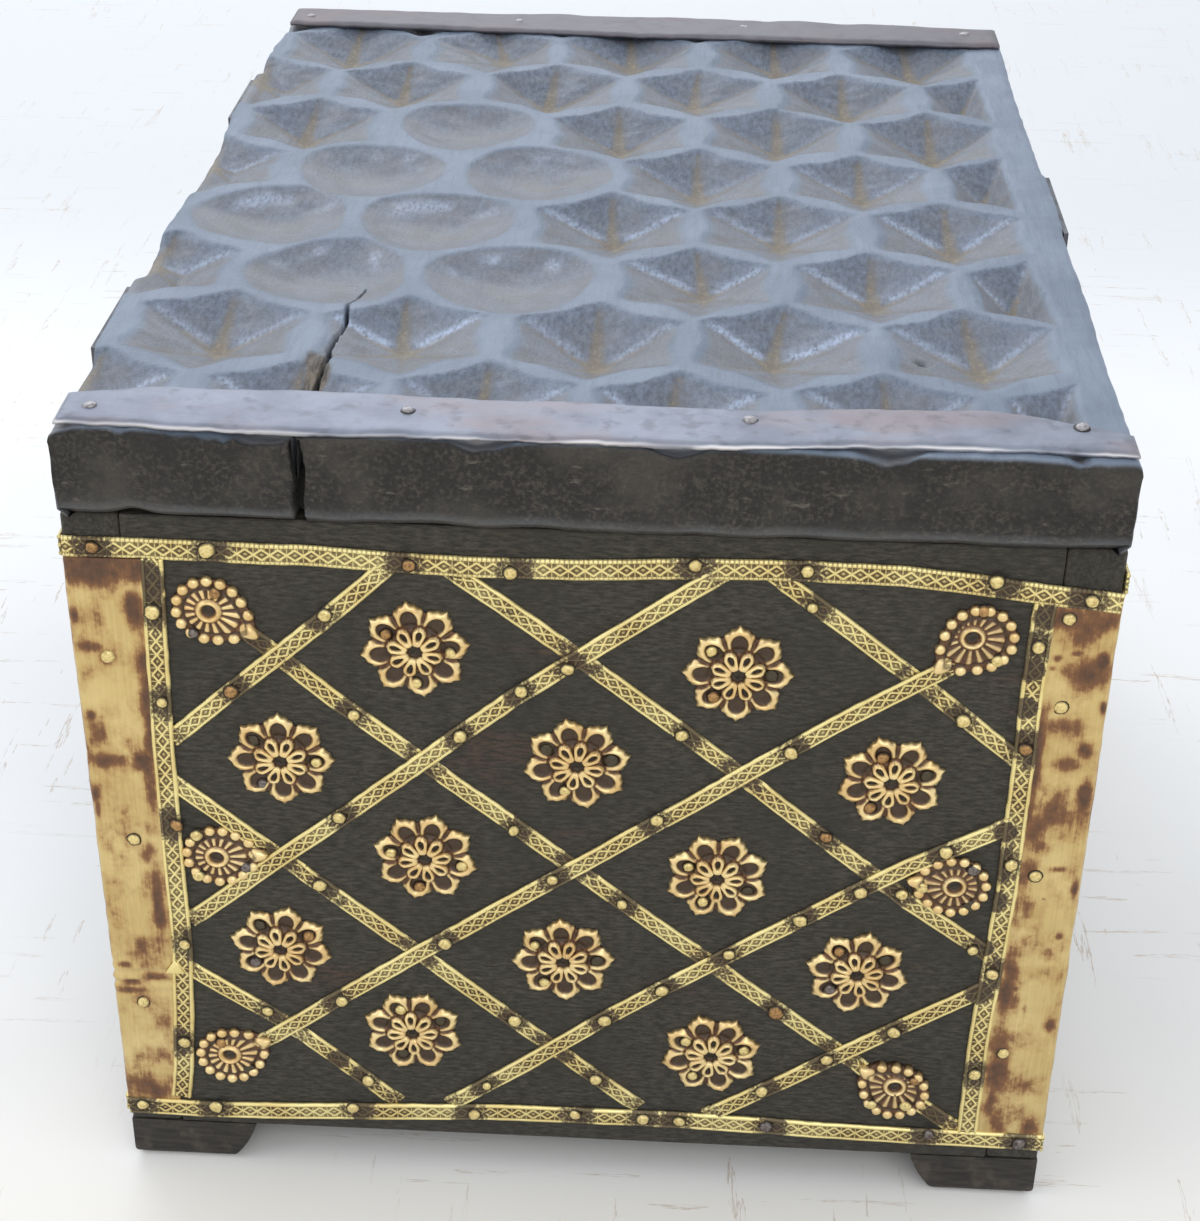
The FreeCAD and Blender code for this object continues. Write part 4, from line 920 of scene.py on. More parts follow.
def layRegular(side, phase):
    # An even lattice on the sides that the photograph doesn't show, by the same rule as the part
    half = halves[side]
    slope = panel["rise"] / panel["pitch"]
    count = int(half / panel["pitch"]) + 3
    middles = [k * panel["pitch"] for k in range(-count, count + 1) if (k + phase) % 2 == 0]
    rising[side] = [l for l in (clipLine(m, slope, half) for m in middles) if l]
    falling[side] = [l for l in (clipLine(m, -slope, half) for m in middles) if l]
    inner = half - panel["inner"]
    inset, lean, reach = panel["dropInset"], panel["dropTurn"], panel["dropReach"]
    across, height = inner - inset, (panel["top"] - panel["foot"]) / 2
    drops[side] = []
    for sign in (-1, 1):
        for z, turn in ((panel["middle"], 0), (panel["top"] - inset, -lean), (panel["foot"] + inset, lean)):
            a = math.radians(turn)
            drops[side].append((sign * across, z, sign * (across - reach * math.cos(a)), z + reach * math.sin(a)))
    reach = panel["rosetteReach"]
    rosettes[side] = []
    for i in range(-6, 7):
        for j in range(-3, 4):
            at = (i * panel["pitch"], panel["middle"] + j * panel["rise"])
            whole = abs(at[0]) + reach < inner and abs(j) * panel["rise"] + reach < height
            apart = all(math.dist(at, d[:2]) > panel["apart"] for d in drops[side])
            hasp = side == "front" and math.dist(at, panel["hasp"]) < panel["haspRoom"]
            if (i + j + phase) % 2 and whole and apart and not hasp:
                rosettes[side].append((*at, (i * 17 + j * 29) % 45))


for side in ("far", "front", "back"):
    half = halves[side]
    topLines[side] = ((-half, 179.8), (half, 179.8))
    footLines[side] = ((-half, 18.1), (half, 18.1))
    lines = [s * (half - panel["uprightInset"]) for s in (-1, 1)]
    uprights[side] = tuple(((u, 20.0), (u, 178.0)) for u in lines)
for side, phase in (("far", 0), ("front", 1)):
    layRegular(side, phase)


def meeting(first, second):
    # Where two broken lines cross
    for (ax, ay), (bx, by) in zip(first, first[1:]):
        for (cx, cy), (dx, dy) in zip(second, second[1:]):
            det = (bx - ax) * (dy - cy) - (by - ay) * (dx - cx)
            t = ((cx - ax) * (dy - cy) - (cy - ay) * (dx - cx)) / det if det else -1
            s = ((cx - ax) * (by - ay) - (cy - ay) * (bx - ax)) / det if det else -1
            if 0 <= t <= 1 and 0 <= s <= 1:
                return ax + t * (bx - ax), ay + t * (by - ay)
    return None


def spacing(line, u, v):
    # Distance from a place to a broken line
    found = []
    for (ax, ay), (bx, by) in zip(line, line[1:]):
        run = (bx - ax) ** 2 + (by - ay) ** 2
        t = min(max(((u - ax) * (bx - ax) + (v - ay) * (by - ay)) / run, 0), 1)
        found.append(math.hypot(ax + t * (bx - ax) - u, ay + t * (by - ay) - v))
    return min(found)


def ruleNails(side):
    # Nails on the sides out of sight: evenly along the borders, at the crossings and at the strips' ends
    found = []
    breaks = hingeSpans if side == "back" else ()
    lines = [topLines[side], footLines[side], *uprights[side]]
    for line in lines:
        (ax, ay), (bx, by) = line
        count = max(1, round(math.dist((ax, ay), (bx, by)) / panel["nailGap"]))
        for i in range(count):
            t = (i + 0.5) / count
            at = (ax + (bx - ax) * t, ay + (by - ay) * t)
            if not (line is lines[0] and any(a - 3 < at[0] < b + 3 for a, b in breaks)):
                found.append(at)
    half = halves[side]
    found += [(s * (half - panel["sheetInset"]), z) for s in (-1, 1) for z in panel["sheetNails"]]
    if side != "back":
        joints = [meeting(r, f) for r in rising[side] for f in falling[side]]
        joints = [j for j in joints if j]
        for line in (*rising[side], *falling[side]):
            a, b = Vector(line[0]), Vector(line[1])
            inward = (b - a).normalized() * panel["nailInset"]
            for at in (a + inward, b - inward):
                if all(math.dist(at, j) > panel["nailApart"] for j in joints):
                    found.append((at.x, at.y))
        found += joints
    return [n for n in found if all(math.dist(n, d[:2]) > panel["dropRoom"] for d in drops.get(side, ()))]


for side in ("far", "front", "back"):
    nails[side] = ruleNails(side)

# Places across a strip, as shares of half its width: finer where its edges turn and where the net runs
outward = {True: (0.16, 0.32, 0.48, 0.6, 0.68, 0.76, 0.88, 0.96, 1), False: (0.22, 0.45, 0.6, 0.75, 0.93, 1)}
columns = {fine: np.concatenate([-np.array(shares[::-1]), [0], shares]) for fine, shares in outward.items()}


# Blackened places on the near end's strips: (across, up, reach)
soot = (
    (-98.4, 172, 8), (-74.5, 158.3, 6), (-79, 161.5, 5), (99.5, 171.5, 4.5), (95, 66.5, 5), (-61, 36, 4),
    (88, 26.5, 5), (97.4, 158, 4.5), (97.2, 148, 4), (96.9, 139, 4.5), (96.4, 114, 4), (96.2, 104, 3.5),
    (95.8, 94, 4.5), (95, 80, 3.5),
)


def stripPatch(side, line, half, lift, seed, under=None, fine=True, tuck=0.0, cord=0.0):
    # A strip along a broken line of (u, v) points; its edges and its net stand up, and it gives a little at the nails
    line = np.array(line, float)
    runs = np.hypot(*np.diff(line, axis=0).T)
    total = runs.sum()
    s = np.linspace(0, total, int(total / (0.36 if fine else 0.62)) + 2)
    at = np.concatenate([[0], np.cumsum(runs)])
    u = np.interp(s, at, line[:, 0]) + 0.12 * ripple(s, 19, seed)
    v = np.interp(s, at, line[:, 1]) + 0.12 * ripple(s, 19, seed + 1)
    du, dv = (np.convolve(np.pad(np.gradient(w), 12, mode="edge"), np.ones(25) / 25, mode="valid") for w in (u, v))
    away = np.hypot(du, dv)
    t = columns[fine]
    width = half * (1 + 0.025 * ripple(s, 8, seed + 2))[:, None]
    offset = width * t + 0.07 * ripple(s, 2.2, seed + 3)[:, None] * (abs(t) > 0.9)
    pu = u[:, None] - (dv / away)[:, None] * offset
    pv = v[:, None] + (du / away)[:, None] * offset
    across = offset * strip["lattice"] / half
    along = s[:, None] + seed * 1.7 + 0 * offset
    wide = abs(across)
    swing = abs(along / strip["mesh"] % 1 - 0.5) * 2
    rise = np.maximum(step(wide, 1.3, 1.56), 0.75 * hump(wide - swing * strip["net"], 0.3))
    out = -0.34 * (1 - rise) - 0.42 * step(abs(t), 0.9, 1.0)[None] - 0.08 * step(abs(t), 0.7, 0.95)[None]
    out = out - cord * 0.16 * step(wide, 1.4, 1.6) * (0.5 + 0.5 * np.cos(2 * math.pi * along / strip["rib"]))
    out = out + 0.12 * waver(along, across, 9, seed + 4) + 0.05 * waver(along, across, 2.4, seed + 5)
    level = np.full_like(s, float(lift))
    grime = np.zeros_like(pu)
    for i, (nu, nv) in enumerate(nails[side]):
        reach = np.hypot(pu - nu, pv - nv)
        if reach.min() < 2.5:
            lean = 0.55 + 0.45 * np.sin(i * 2.4) * np.sign(pu - nu)
            spread = (5.0 if half < 2.4 else 6.2) + 3.2 * lean + 1.4 * waver(along, across, 1.6, seed + 9)
            grime = np.maximum(grime, step(reach, spread, 2.6) * (0.6 + 0.4 * lean))
            out = out - 0.2 * hump(reach, 2.6)
    if under is not None:
        for cu, cv in under:
            reach = np.hypot(u - cu, v - cv)
            if reach.min() < 3:
                level = level - 0.5 * step(reach, 7.5, 3.5)
                # Near a crossing the lower strip is painted darker, most where it passes under the upper one
                dark = step(np.hypot(pu - cu, pv - cv), 9.5, 3.4)
                grime = np.maximum(grime, dark * (0.75 + 0.35 * waver(along, across, 2, seed + 6)))
    blotch = waver(along, across, 8, seed + 7) + 0.5 * waver(along, across, 2.6, seed + 8)
    grime = np.maximum(grime, step(blotch, 0.7, 1.15) * (0.7 if under is not None else 0.45))
    for su, sv, reach in soot if side == "near" else ():
        grime = np.maximum(grime, step(np.hypot(pu - su, pv - sv), reach, reach * 0.5))
    # Each tucked end dips and is painted darker where it runs under a border
    for end in (s, total - s):
        level = level - tuck * step(end, 4.0, 1.5)
        grime = np.maximum(grime, (0.6 * step(end, 7, 3) if tuck else 0 * end)[:, None])
    out = np.clip(out + level[:, None] + strip["thickness"], 0.12, None)
    top = onFace(side, pu, pv, out)
    low = onFace(side, pu[:, [0, -1]], pv[:, [0, -1]], np.clip(level[:, None] - 0.1, -0.05, None) + np.zeros(2))
    fields = {"along": along, "across": across, "grime": grime, "cord": along * 0 + cord}
    return bandPatch(top, low, fields, side in turnedSides)


def between(line, low, high):
    # The part of a left-to-right broken line between two places along the side
    inner = [p for p in line if low < p[0] < high]
    us, vs = zip(*line)
    return [(low, float(np.interp(low, us, vs))), *inner, (high, float(np.interp(high, us, vs)))]


def drawnOut(line, reach):
    # A broken line with both its ends made longer
    first, second, last = Vector(line[0]), Vector(line[1]), Vector(line[-1])
    start = first + (first - second).normalized() * reach
    end = last + (last - Vector(line[-2])).normalized() * reach
    return (tuple(start), *line, tuple(end))


chip = {"place": (-99.6, 63.8), "wide": 5.0, "tall": 4.0, "lean": 0.2, "out": (0.5, 1.35)}


def chipPatch():
    # A stray three-cornered scrap of brass on the near end's left upright
    u, v = chip["place"]
    wide, tall = chip["wide"] / 2, chip["tall"] / 2
    corners = np.array([(-wide, -tall), (wide, -tall), (chip["lean"], tall)])
    rings = [onFace("near", u + corners[:, 0] * k, v + corners[:, 1] * k, out)
             for k, out in ((1.0, chip["out"][0]), (1.0, chip["out"][1] - 0.15), (0.88, chip["out"][1]))]
    last = np.arange(3) + 6
    faces = [gridFaces(3, 3, wrap=True), last[None], np.arange(3)[::-1][None]]
    fields = {"along": np.zeros(9), "across": np.full(9, 1.8), "grime": np.full(9, 0.1), "cord": np.zeros(9)}
    return {"points": np.concatenate(rings), "faces": faces, "fields": fields}


def makeStrips(side):
    fine = side == "near"
    half = halves[side]
    seed = {"near": 200, "far": 300, "front": 400, "back": 500}[side]
    wide, lift = strip["border"], 0.35
    borders = {
        "bottom_strip": [stripPatch(side, footLines[side], wide, lift, seed, fine=fine)],
        "upright_strips": [stripPatch(side, l, wide, lift - 0.05, seed + 20 * i + 20, fine=fine)
                           for i, l in enumerate(uprights[side])],
    }
    if fine:
        borders["upright_strips"].append(chipPatch())
    if side == "back":
        cuts = [-half, *[c for span in hingeSpans for c in span], half]
        spans = list(zip(cuts[::2], cuts[1::2]))
    else:
        spans = [(-half, half)]
    borders["top_strip"] = [
        stripPatch(side, between(topLines[side], a, b), wide, lift, seed + 60 + 5 * i, fine=fine, cord=1.0)
        for i, (a, b) in enumerate(spans)
    ]
    for name, patches in borders.items():
        single = f"{side}_{name}"
        buildPiece("brass_" + single, patches, finishes["strip"], "carcass", [single])
    if side == "back":
        return
    joints = [j for j in (meeting(r, f) for r in rising[side] for f in falling[side]) if j]
    layers = (("lattice_under", falling[side], 0.0, joints), ("lattice_over", rising[side], 0.35, None))
    for name, lines, lift, under in layers:
        patches = [stripPatch(side, drawnOut(l, 2.5) if fine else l, strip["lattice"], lift,
                              seed + 100 + 13 * i + (7 if under else 0), under, fine, 0.4)
                   for i, l in enumerate(lines)]
        single = f"{side}_{name}"
        buildPiece("brass_" + single, patches, finishes["strip"], "carcass", [single])


for side in halves:
    makeStrips(side)
print("strips made")


# Rosettes and drops

rosette = {
    "tip": 11.75, "notch": 1.9, "point": 0.75, "ripple": 0.14, "cup": 7.8, "cupLong": 2.5, "cupWide": 1.95,
    "rim": 0.6, "flower": 2.3, "leafEnd": 4.7, "leafReach": 1.5, "hole": 2.0,
}
eighth = math.pi / 4


def discGrid(fine):
    # The angles round a pressed ornament and the shares out from its middle
    around, rings = (200, 34) if fine else (120, 18)
    return np.arange(around) * 2 * math.pi / around, np.linspace(0.03, 1.0, rings)[:, None]


def ornamentPatch(side, u, v, r, angle, height, middle, relief, low):
    # A disc of heights over one side: r and angle are polar places about (u, v), and its last ring is the edge
    height[-1] = 0.1
    points = onFace(side, u + r * np.cos(angle), v + r * np.sin(angle), height)
    fields = {"relief": np.clip(relief, 0, 1), "low": low}
    return discPatch(points, onFace(side, u, v, middle), onFace(side, u, v, -0.05), fields,
                     {"relief": 0.0, "low": 1.0}, side in turnedSides)


def rosettePatch(side, u, v, spin, seed, fine=True):
    # Height over a disc: eight outer petals, each five-pointed with a rimmed cup, round a raised flower of eight
    # drop-shaped leaves with slots, and a star-shaped hole in the middle
    turn, share = discGrid(fine)
    lean = turn - np.round(turn / eighth) * eighth
    radius = (rosette["tip"] - rosette["notch"] * (abs(lean) / (eighth / 2)) ** 1.8
              + rosette["point"] * np.exp(-abs(lean) / 0.055) + rosette["ripple"] * np.cos(40 * lean))
    r = share * radius
    angle = turn[None] + 0 * share
    along, aside = r * np.cos(lean), r * np.sin(lean)
    margin = radius - r
    cup = np.hypot((along - rosette["cup"]) / rosette["cupLong"], aside / rosette["cupWide"])
    hollow = step(cup, 1.02, 0.84)
    rim = hump(cup - 1.24, 0.3) * step(along, 5.9, 7.1)
    groove = hump(abs(aside) - along * math.tan(eighth / 2), 0.72) * step(along, 6.2, 7.2)
    ripple = (0.5 + 0.5 * np.cos(40 * lean)) * step(cup, 1.3, 1.6) * step(along, 7.0, 9.0)
    flank = step(cup, 1.05, 1.2) * step(along, 6.6, 8.0) * (0.62 + 0.3 * ripple)
    height = 0.62 + 0.3 * step(cup, 1.9, 1.2) + rosette["rim"] * rim + 0.14 * ripple - 0.5 * hollow - 0.42 * groove
    height = 0.3 + (height - 0.3) * step(margin, -0.1, 0.5)
    nearest = np.round((turn - eighth / 2) / eighth) * eighth + eighth / 2
    out, off = r * np.cos(turn - nearest), abs(r * np.sin(turn - nearest))
    leaf = np.where(out < rosette["leafEnd"], off / (0.38 + 0.235 * out),
                    np.hypot(out - rosette["leafEnd"], off) / rosette["leafReach"])
    leafIn = step(leaf, 1.1, 0.9) * step(out, 1.5, 1.9)
    slot = step(np.hypot((out - 4.35) / 1.4, off / (0.22 + 0.1 * out)), 1.1, 0.75)
    flower = step(r, 6.2, 5.0)
    height = height * (1 - flower) + 1.05 * flower - 0.3 * hump(r - 6.3, 0.5)
    height = height * (1 - leafIn) + (rosette["flower"] - 1.2 * slot) * leafIn
    hole = step(r, rosette["hole"] + 0.25 * np.cos(8 * turn), 1.35)
    height = height * (1 - hole) + 0.45 * hole
    height += 0.06 * waver(r * np.cos(angle), r * np.sin(angle), 1.4, seed)
    wear = 0.2 * waver(r * np.cos(angle), r * np.sin(angle), 2.6, seed + 50)
    shine = np.maximum(np.maximum(rim, leafIn * (1 - slot)), flank)
    relief = shine * (1 - groove) * (1 - hole) * 1.05 + wear * (shine > 0.2)
    low = np.maximum(np.maximum(slot * leafIn * 0.95, hole), np.maximum(hollow * 0.8, groove * 0.35))
    low = np.maximum(low, 0.3 * flower * (1 - leafIn))
    tilt = math.radians(90 + spin)
    return ornamentPatch(side, u, v, r, angle + tilt, np.clip(height, 0.12, 2.5), 0.4, relief, low)


drop = {
    "radius": 8.7, "tipWidth": 0.42, "tipReach": 1.5, "beads": 15, "bead": 1.36, "tipBead": 1.45, "flutes": 16,
    "hub": 2.25, "hubHeight": 1.9, "fades": (0.8, 0.66, 0.95, 0.7, 1.0, 0.68),
}
hubShifts = ((0, 0), (-1.9, 0.75), (-0.2, 0), (0, 0.4), (0, 0.75), (-1.4, 3.2))


def dropPatch(side, u, v, tipU, tipV, seed, fine=True, lift=0.0, shift=(0, 0)):
    # A pear: separate beads round its edge, the largest at the tip, then a groove, a fan of ridges and a middle ring
    turn, share = discGrid(fine)
    bearing = math.atan2(tipV - v, tipU - u)
    tip = math.hypot(tipU - u, tipV - v) + drop["tipReach"]
    swing = abs((turn + math.pi) % (2 * math.pi) - math.pi)
    base = drop["radius"] + (tip - drop["radius"]) * np.exp(-(swing / drop["tipWidth"]) ** 1.25)
    r = share * (base - 0.35 + 0.35 * np.cos(turn * drop["beads"]))
    x, y = r * np.cos(turn), r * np.sin(turn)
    away = base[None] - r
    ball = np.zeros_like(r)
    for k in range(drop["beads"]):
        a = 2 * math.pi * k / drop["beads"]
        size = drop["bead"] * (drop["tipBead"] if k == 0 else 1)
        at = np.interp(a, turn, base) - size * (1.12 if k == 0 else 0.98)
        reach = np.hypot(x - at * math.cos(a), y - at * math.sin(a)) / size
        if k == 0:
            reach = np.hypot((x - at) / 1.35, y * (1.15 + 0.2 * np.clip(x - at, -1, 3))) / size
        ball = np.maximum(ball, np.sqrt(np.clip(1 - reach ** 2, 0, 1)) * size)
    c, s = math.cos(-bearing), math.sin(-bearing)
    hubX, hubY = shift[0] * c - shift[1] * s, shift[0] * s + shift[1] * c
    hubX, hubY = np.clip((hubX, hubY), -1.6, 1.6)
    fade = drop["fades"][seed % len(drop["fades"])]
    ring = np.hypot(x - hubX, y - hubY)
    fan = np.arctan2(y - hubY, x - hubX)
    field = step(away, 3.0, 3.5) * step(ring, 2.9, 3.4) * step(ring, 7.6, 6.8)
    ridge = abs(np.cos(fan * drop["flutes"] / 2)) ** 1.5 * field
    hub = hump(ring - drop["hub"], 0.72)
    hole = step(ring, 1.6, 1.2)
    height = 0.45 + 0.85 * ball * step(away, 3.6, 3.1) + 0.25 * field + 0.55 * ridge * (1 - hub)
    height = height * (1 - hub) + drop["hubHeight"] * hub
    height = height * (1 - hole) + 0.5 * hole
    relief = np.maximum(np.maximum(ball * 1.1, ridge * 0.95 - 0.12), hub)
    dent = hump(away - 3.0, 0.45) * 0.8
    low = np.clip(np.maximum(np.maximum(hole, dent), 0.4 * step(ball, 0.3, 0.05) * step(away, 2.4, 2.0)), 0, 1)
    low = np.maximum(low, 0.5 * field * step(ridge, 0.5, 0.2))
    height = np.clip(height, 0.15, 2.2) + lift
    return ornamentPatch(side, u, v, r, turn[None] + bearing, height, 0.5 + lift, relief * (1 - hole) * fade, low)


for side in ("near", "far", "front"):
    fine = side == "near"
    patches = [rosettePatch(side, *at, 600 + i, fine) for i, at in enumerate(rosettes[side])]
    pears = [dropPatch(side, *d, 700 + i, fine, 0.8 if fine and i == 5 else 0.0, hubShifts[i] if fine else (0, 0))
             for i, d in enumerate(drops[side])]
    for kind, made in (("_rosettes", patches), ("_drops", pears)):
        buildPiece("brass_" + side + kind, made, finishes["ornament"], "carcass", [side + kind])
print("rosettes and drops made")


# Nails

nail = {"radius": 1.45, "height": 0.8, "around": 12, "small": 0.92}


def nailPatch(side, u, v, out, seed, kind="gold", size=1.0):
    # A low dome on a dark ring, painted shade of the gap under its head; a hole is only a dark disc
    draw = np.random.default_rng(seed)
    turn = np.arange(nail["around"]) * 2 * math.pi / nail["around"] + draw.uniform(0, 1)
    wobble = 1 + 0.05 * draw.normal(0, 1, nail["around"])
    radius = nail["radius"] * size * (1 + 0.07 * draw.normal()) * wobble
    share = np.array([0.5, 0.82, 1.0, 1.02, 1.25])[:, None]
    lift = np.array([0.95, 0.72, 0.34, 0.08, 0.03])[:, None] * nail["height"] * (0.3 if kind == "hole" else 1)
    leanU, leanV = draw.normal(0, 0.08, 2)
    du, dv = share * radius * np.cos(turn), share * radius * np.sin(turn)
    height = out + lift + (du * leanU + dv * leanV) * (share < 1.1)
    foot = 1.0 if kind == "hole" else 0.0
    # Painted shade: the outer rings are dark, the shade of the gap under the head's rim
    dirt = np.maximum(np.array([0, 0, 0.3, 1.0, 1.0])[:, None], foot) + 0 * height
    ironed = {"iron": 1.0, "steel": 2.0}.get(kind, 0.0)
    fields = {"iron": height * 0 + ironed, "copper": height * 0 + (kind == "copper"), "foot": dirt}
    points = onFace(side, u + du, v + dv, height)
    middle = onFace(side, u, v, out + lift[0, 0] * 1.05)
    centre = {"iron": ironed, "copper": float(kind == "copper"), "foot": foot}
    return discPatch(points, middle, onFace(side, u, v, out - 0.5), fields, centre, side in turnedSides)


def standing(side, u, v):
    # How far out a nail's seat lies: on the sheet, on an upper strip or border, or on a lower strip
    if abs(u) > halves[side] - 13.5 and 24 < v < 174:
        return 0.5
    upper = [*rising.get(side, ()), topLines[side], footLines[side], *uprights[side]]
    return 1.05 if min(spacing(line, u, v) for line in upper) < 2.6 else 0.72


for side in halves:
    patches = []
    for i, at in enumerate(nails[side]):
        copper = at in copperNails or (side != "near" and i % 9 == 4)
        kind = "iron" if at in ironNails else "copper" if copper else "gold"
        patches.append(nailPatch(side, *at, standing(side, *at), 800 + i, kind))
    if side == "near":
        groups = [*zip(rosettes[side], cupNails), *zip(drops[side], dropNails)]
        for i, (at, small) in enumerate(groups):
            lift = 0.8 if i == len(groups) - 1 else 0.0
            for j, (du, dv, kind) in enumerate(small):
                out = (0.62 if i < 12 else 1.0) + lift
                patches.append(nailPatch(side, at[0] + du, at[1] + dv, out, 900 + 5 * i + j, kind, nail["small"]))
    buildPiece(side + "_nail_heads", patches, finishes["nail"], "carcass", [side + "_nails"])
patches = [nailPatch("lid", u, v, 1.0, 950 + i, "steel", 1.1) for i, (u, v) in enumerate(straps["nails"])]
patches += [nailPatch("lid", u, 147 - abs(u) * 0.01, 1.0, 960 + i, "steel", 1.1)
            for i, (u, v) in enumerate(straps["nails"])]
buildPiece("strap_nail_heads", patches, finishes["nail"], "lid", ["lid_strap_nails"])
print("nails made")


# Corner sheets, boards and fittings

sheet = {"out": 0.5, "thickness": 0.45, "corner": 1.5, "foot": 19.5, "reach": 17.2}
sheetEdges = {("near", "back"): ((-102.2, 22.6), (-95.6, 177)), ("near", "front"): ((98.4, 22.3), (100.6, 172))}
# Tarnished places on the near end: (across, up, half width, half height, strength)
stains = {
    ("near", "back"): (

        (-107, 175, 14, 5, 1.4), (-100.5, 164.5, 2.2, 6, 1.2), (-99.4, 145, 2.2, 14, 1.1),
        (-99.5, 133, 2, 9, 1.1), (-101, 118, 2, 9, 1), (-111.4, 154.5, 3.5, 1.8, .9), (-112.5, 148, 3, 2, .5),
        (-109, 165, 3, 6, .45), (-112, 132, 2, 4, .6), (-114.2, 114, 1, 2, .9), (-102.2, 84, 1.6, 12, .9),
        (-106.5, 70, 2.5, 5, .7), (-112, 63.3, 2, 1, 1), (-110.9, 58, 2, 1, 1), (-104.8, 60, 3, 1.5, 1),
        (-112, 55.5, 4, 1.2, .8), (-112.3, 155, 2.5, 2, .6), (-112.9, 136, 1.2, 2, .9), (-114, 162, .8, 2, .8),
        (-110, 123.5, 5, 2.2, 1.1), (-102.3, 123.5, 2.8, 3, 1.1), (-114, 110, .8, 2.5, .6),
        (-102.3, 104, 2, 3, .5), (-110.3, 24.3, 9, 5, .8), (-106.4, 34, 5, 6, .55), (-103, 45, 3, 8, .6),
        (-104.5, 68, 5, 7, .6), (-103.2, 98, 2.4, 7, .6), (-103, 90, 3, 6, .6), (-107.5, 152, 2.4, 2.4, .8),
        (-106.2, 101.4, 2.4, 2.4, .8), (-108.4, 51.9, 2.4, 2.4, .8),
),
    ("near", "front"): (

        (107.5, 170, 9, 4.5, 1.2), (106, 166.5, 5, 3.6, 1), (110, 168, 4, 5, .8), (102.6, 161, 1.3, 1.2, 1.1),
        (101.9, 158.3, 1, .9, 1.1), (106.8, 162.4, 1.6, .9, 1.1), (109.5, 157.5, 6, 5, .75),
        (101.2, 130, 1.7, 22, 1), (105, 142.5, 5, 3, .7), (108, 133, 3.2, 2.4, 1), (106, 119, 5, 5, .7),
        (112.7, 160.4, 1.6, 2.4, 1.2), (102, 110, 1.2, 30, .5), (107, 143, 5, 3, .5),
        (111.8, 136.9, 2.2, 2.6, 1.2), (108, 133, 2.2, 1.6, 1), (113, 125.3, 1.7, 3.6, 1.2),
        (114.3, 148.3, 1, 2, 1), (103.2, 116, 3.5, 8, .75), (101.6, 72, 2.2, 26, .75), (102, 42, 3.4, 17, .8),
        (105, 84, 4, 6, .5), (106, 52, 6, 5, .5), (107, 36, 6, 5, .6), (110, 78, 3, 3, .6),
        (104, 63, 2, 4, .7), (108.5, 113.5, 4, 3, .65), (105, 109.8, 4, 2.5, .85), (101.5, 101, 3, 5, .85),
        (109.5, 103.8, 2, 1.1, 1), (114, 98, 1, 3, .9), (103.5, 92, 1.5, 8, .6), (111.9, 84.3, 1, 1.2, .9),
        (110.2, 73.8, 4, 2.5, .8), (103.5, 67.7, 1, 1.2, .8), (106.3, 62, .8, 5, .6), (113, 57, 1.8, 2.4, 1.2),
        (113.5, 73, 1, 3, .8), (108, 43.2, 4, 5, .4), (101.3, 34.3, 1.8, 12, .8), (108, 30, 5, 4, .5),
        (111.3, 24.3, 2, 4, .8), (103.5, 25.5, 3, 5, .8),
),
}


def shellPatch(outer, inner, fields, flip=False):
    # Two grids of the same size, one under the other, closed round their borders
    rows, count = outer.shape[:2]
    start = rows * count
    index = np.arange(start).reshape(rows, count)
    faces = [gridFaces(rows, count, flip=flip), gridFaces(rows, count, flip=not flip) + start]
    for line, turned in ((index[0], True), (index[-1], False), (index[:, 0], False), (index[:, -1], True)):
        quad = np.stack([line[:-1], line[1:], line[1:] + start, line[:-1] + start], -1)
        faces.append(quad[:, ::-1] if turned != flip else quad)
    full = {k: np.concatenate([np.ravel(v), np.ravel(v)]) for k, v in fields.items()}
    return {"points": np.concatenate([outer.reshape(-1, 3), inner.reshape(-1, 3)]), "faces": faces, "fields": full}


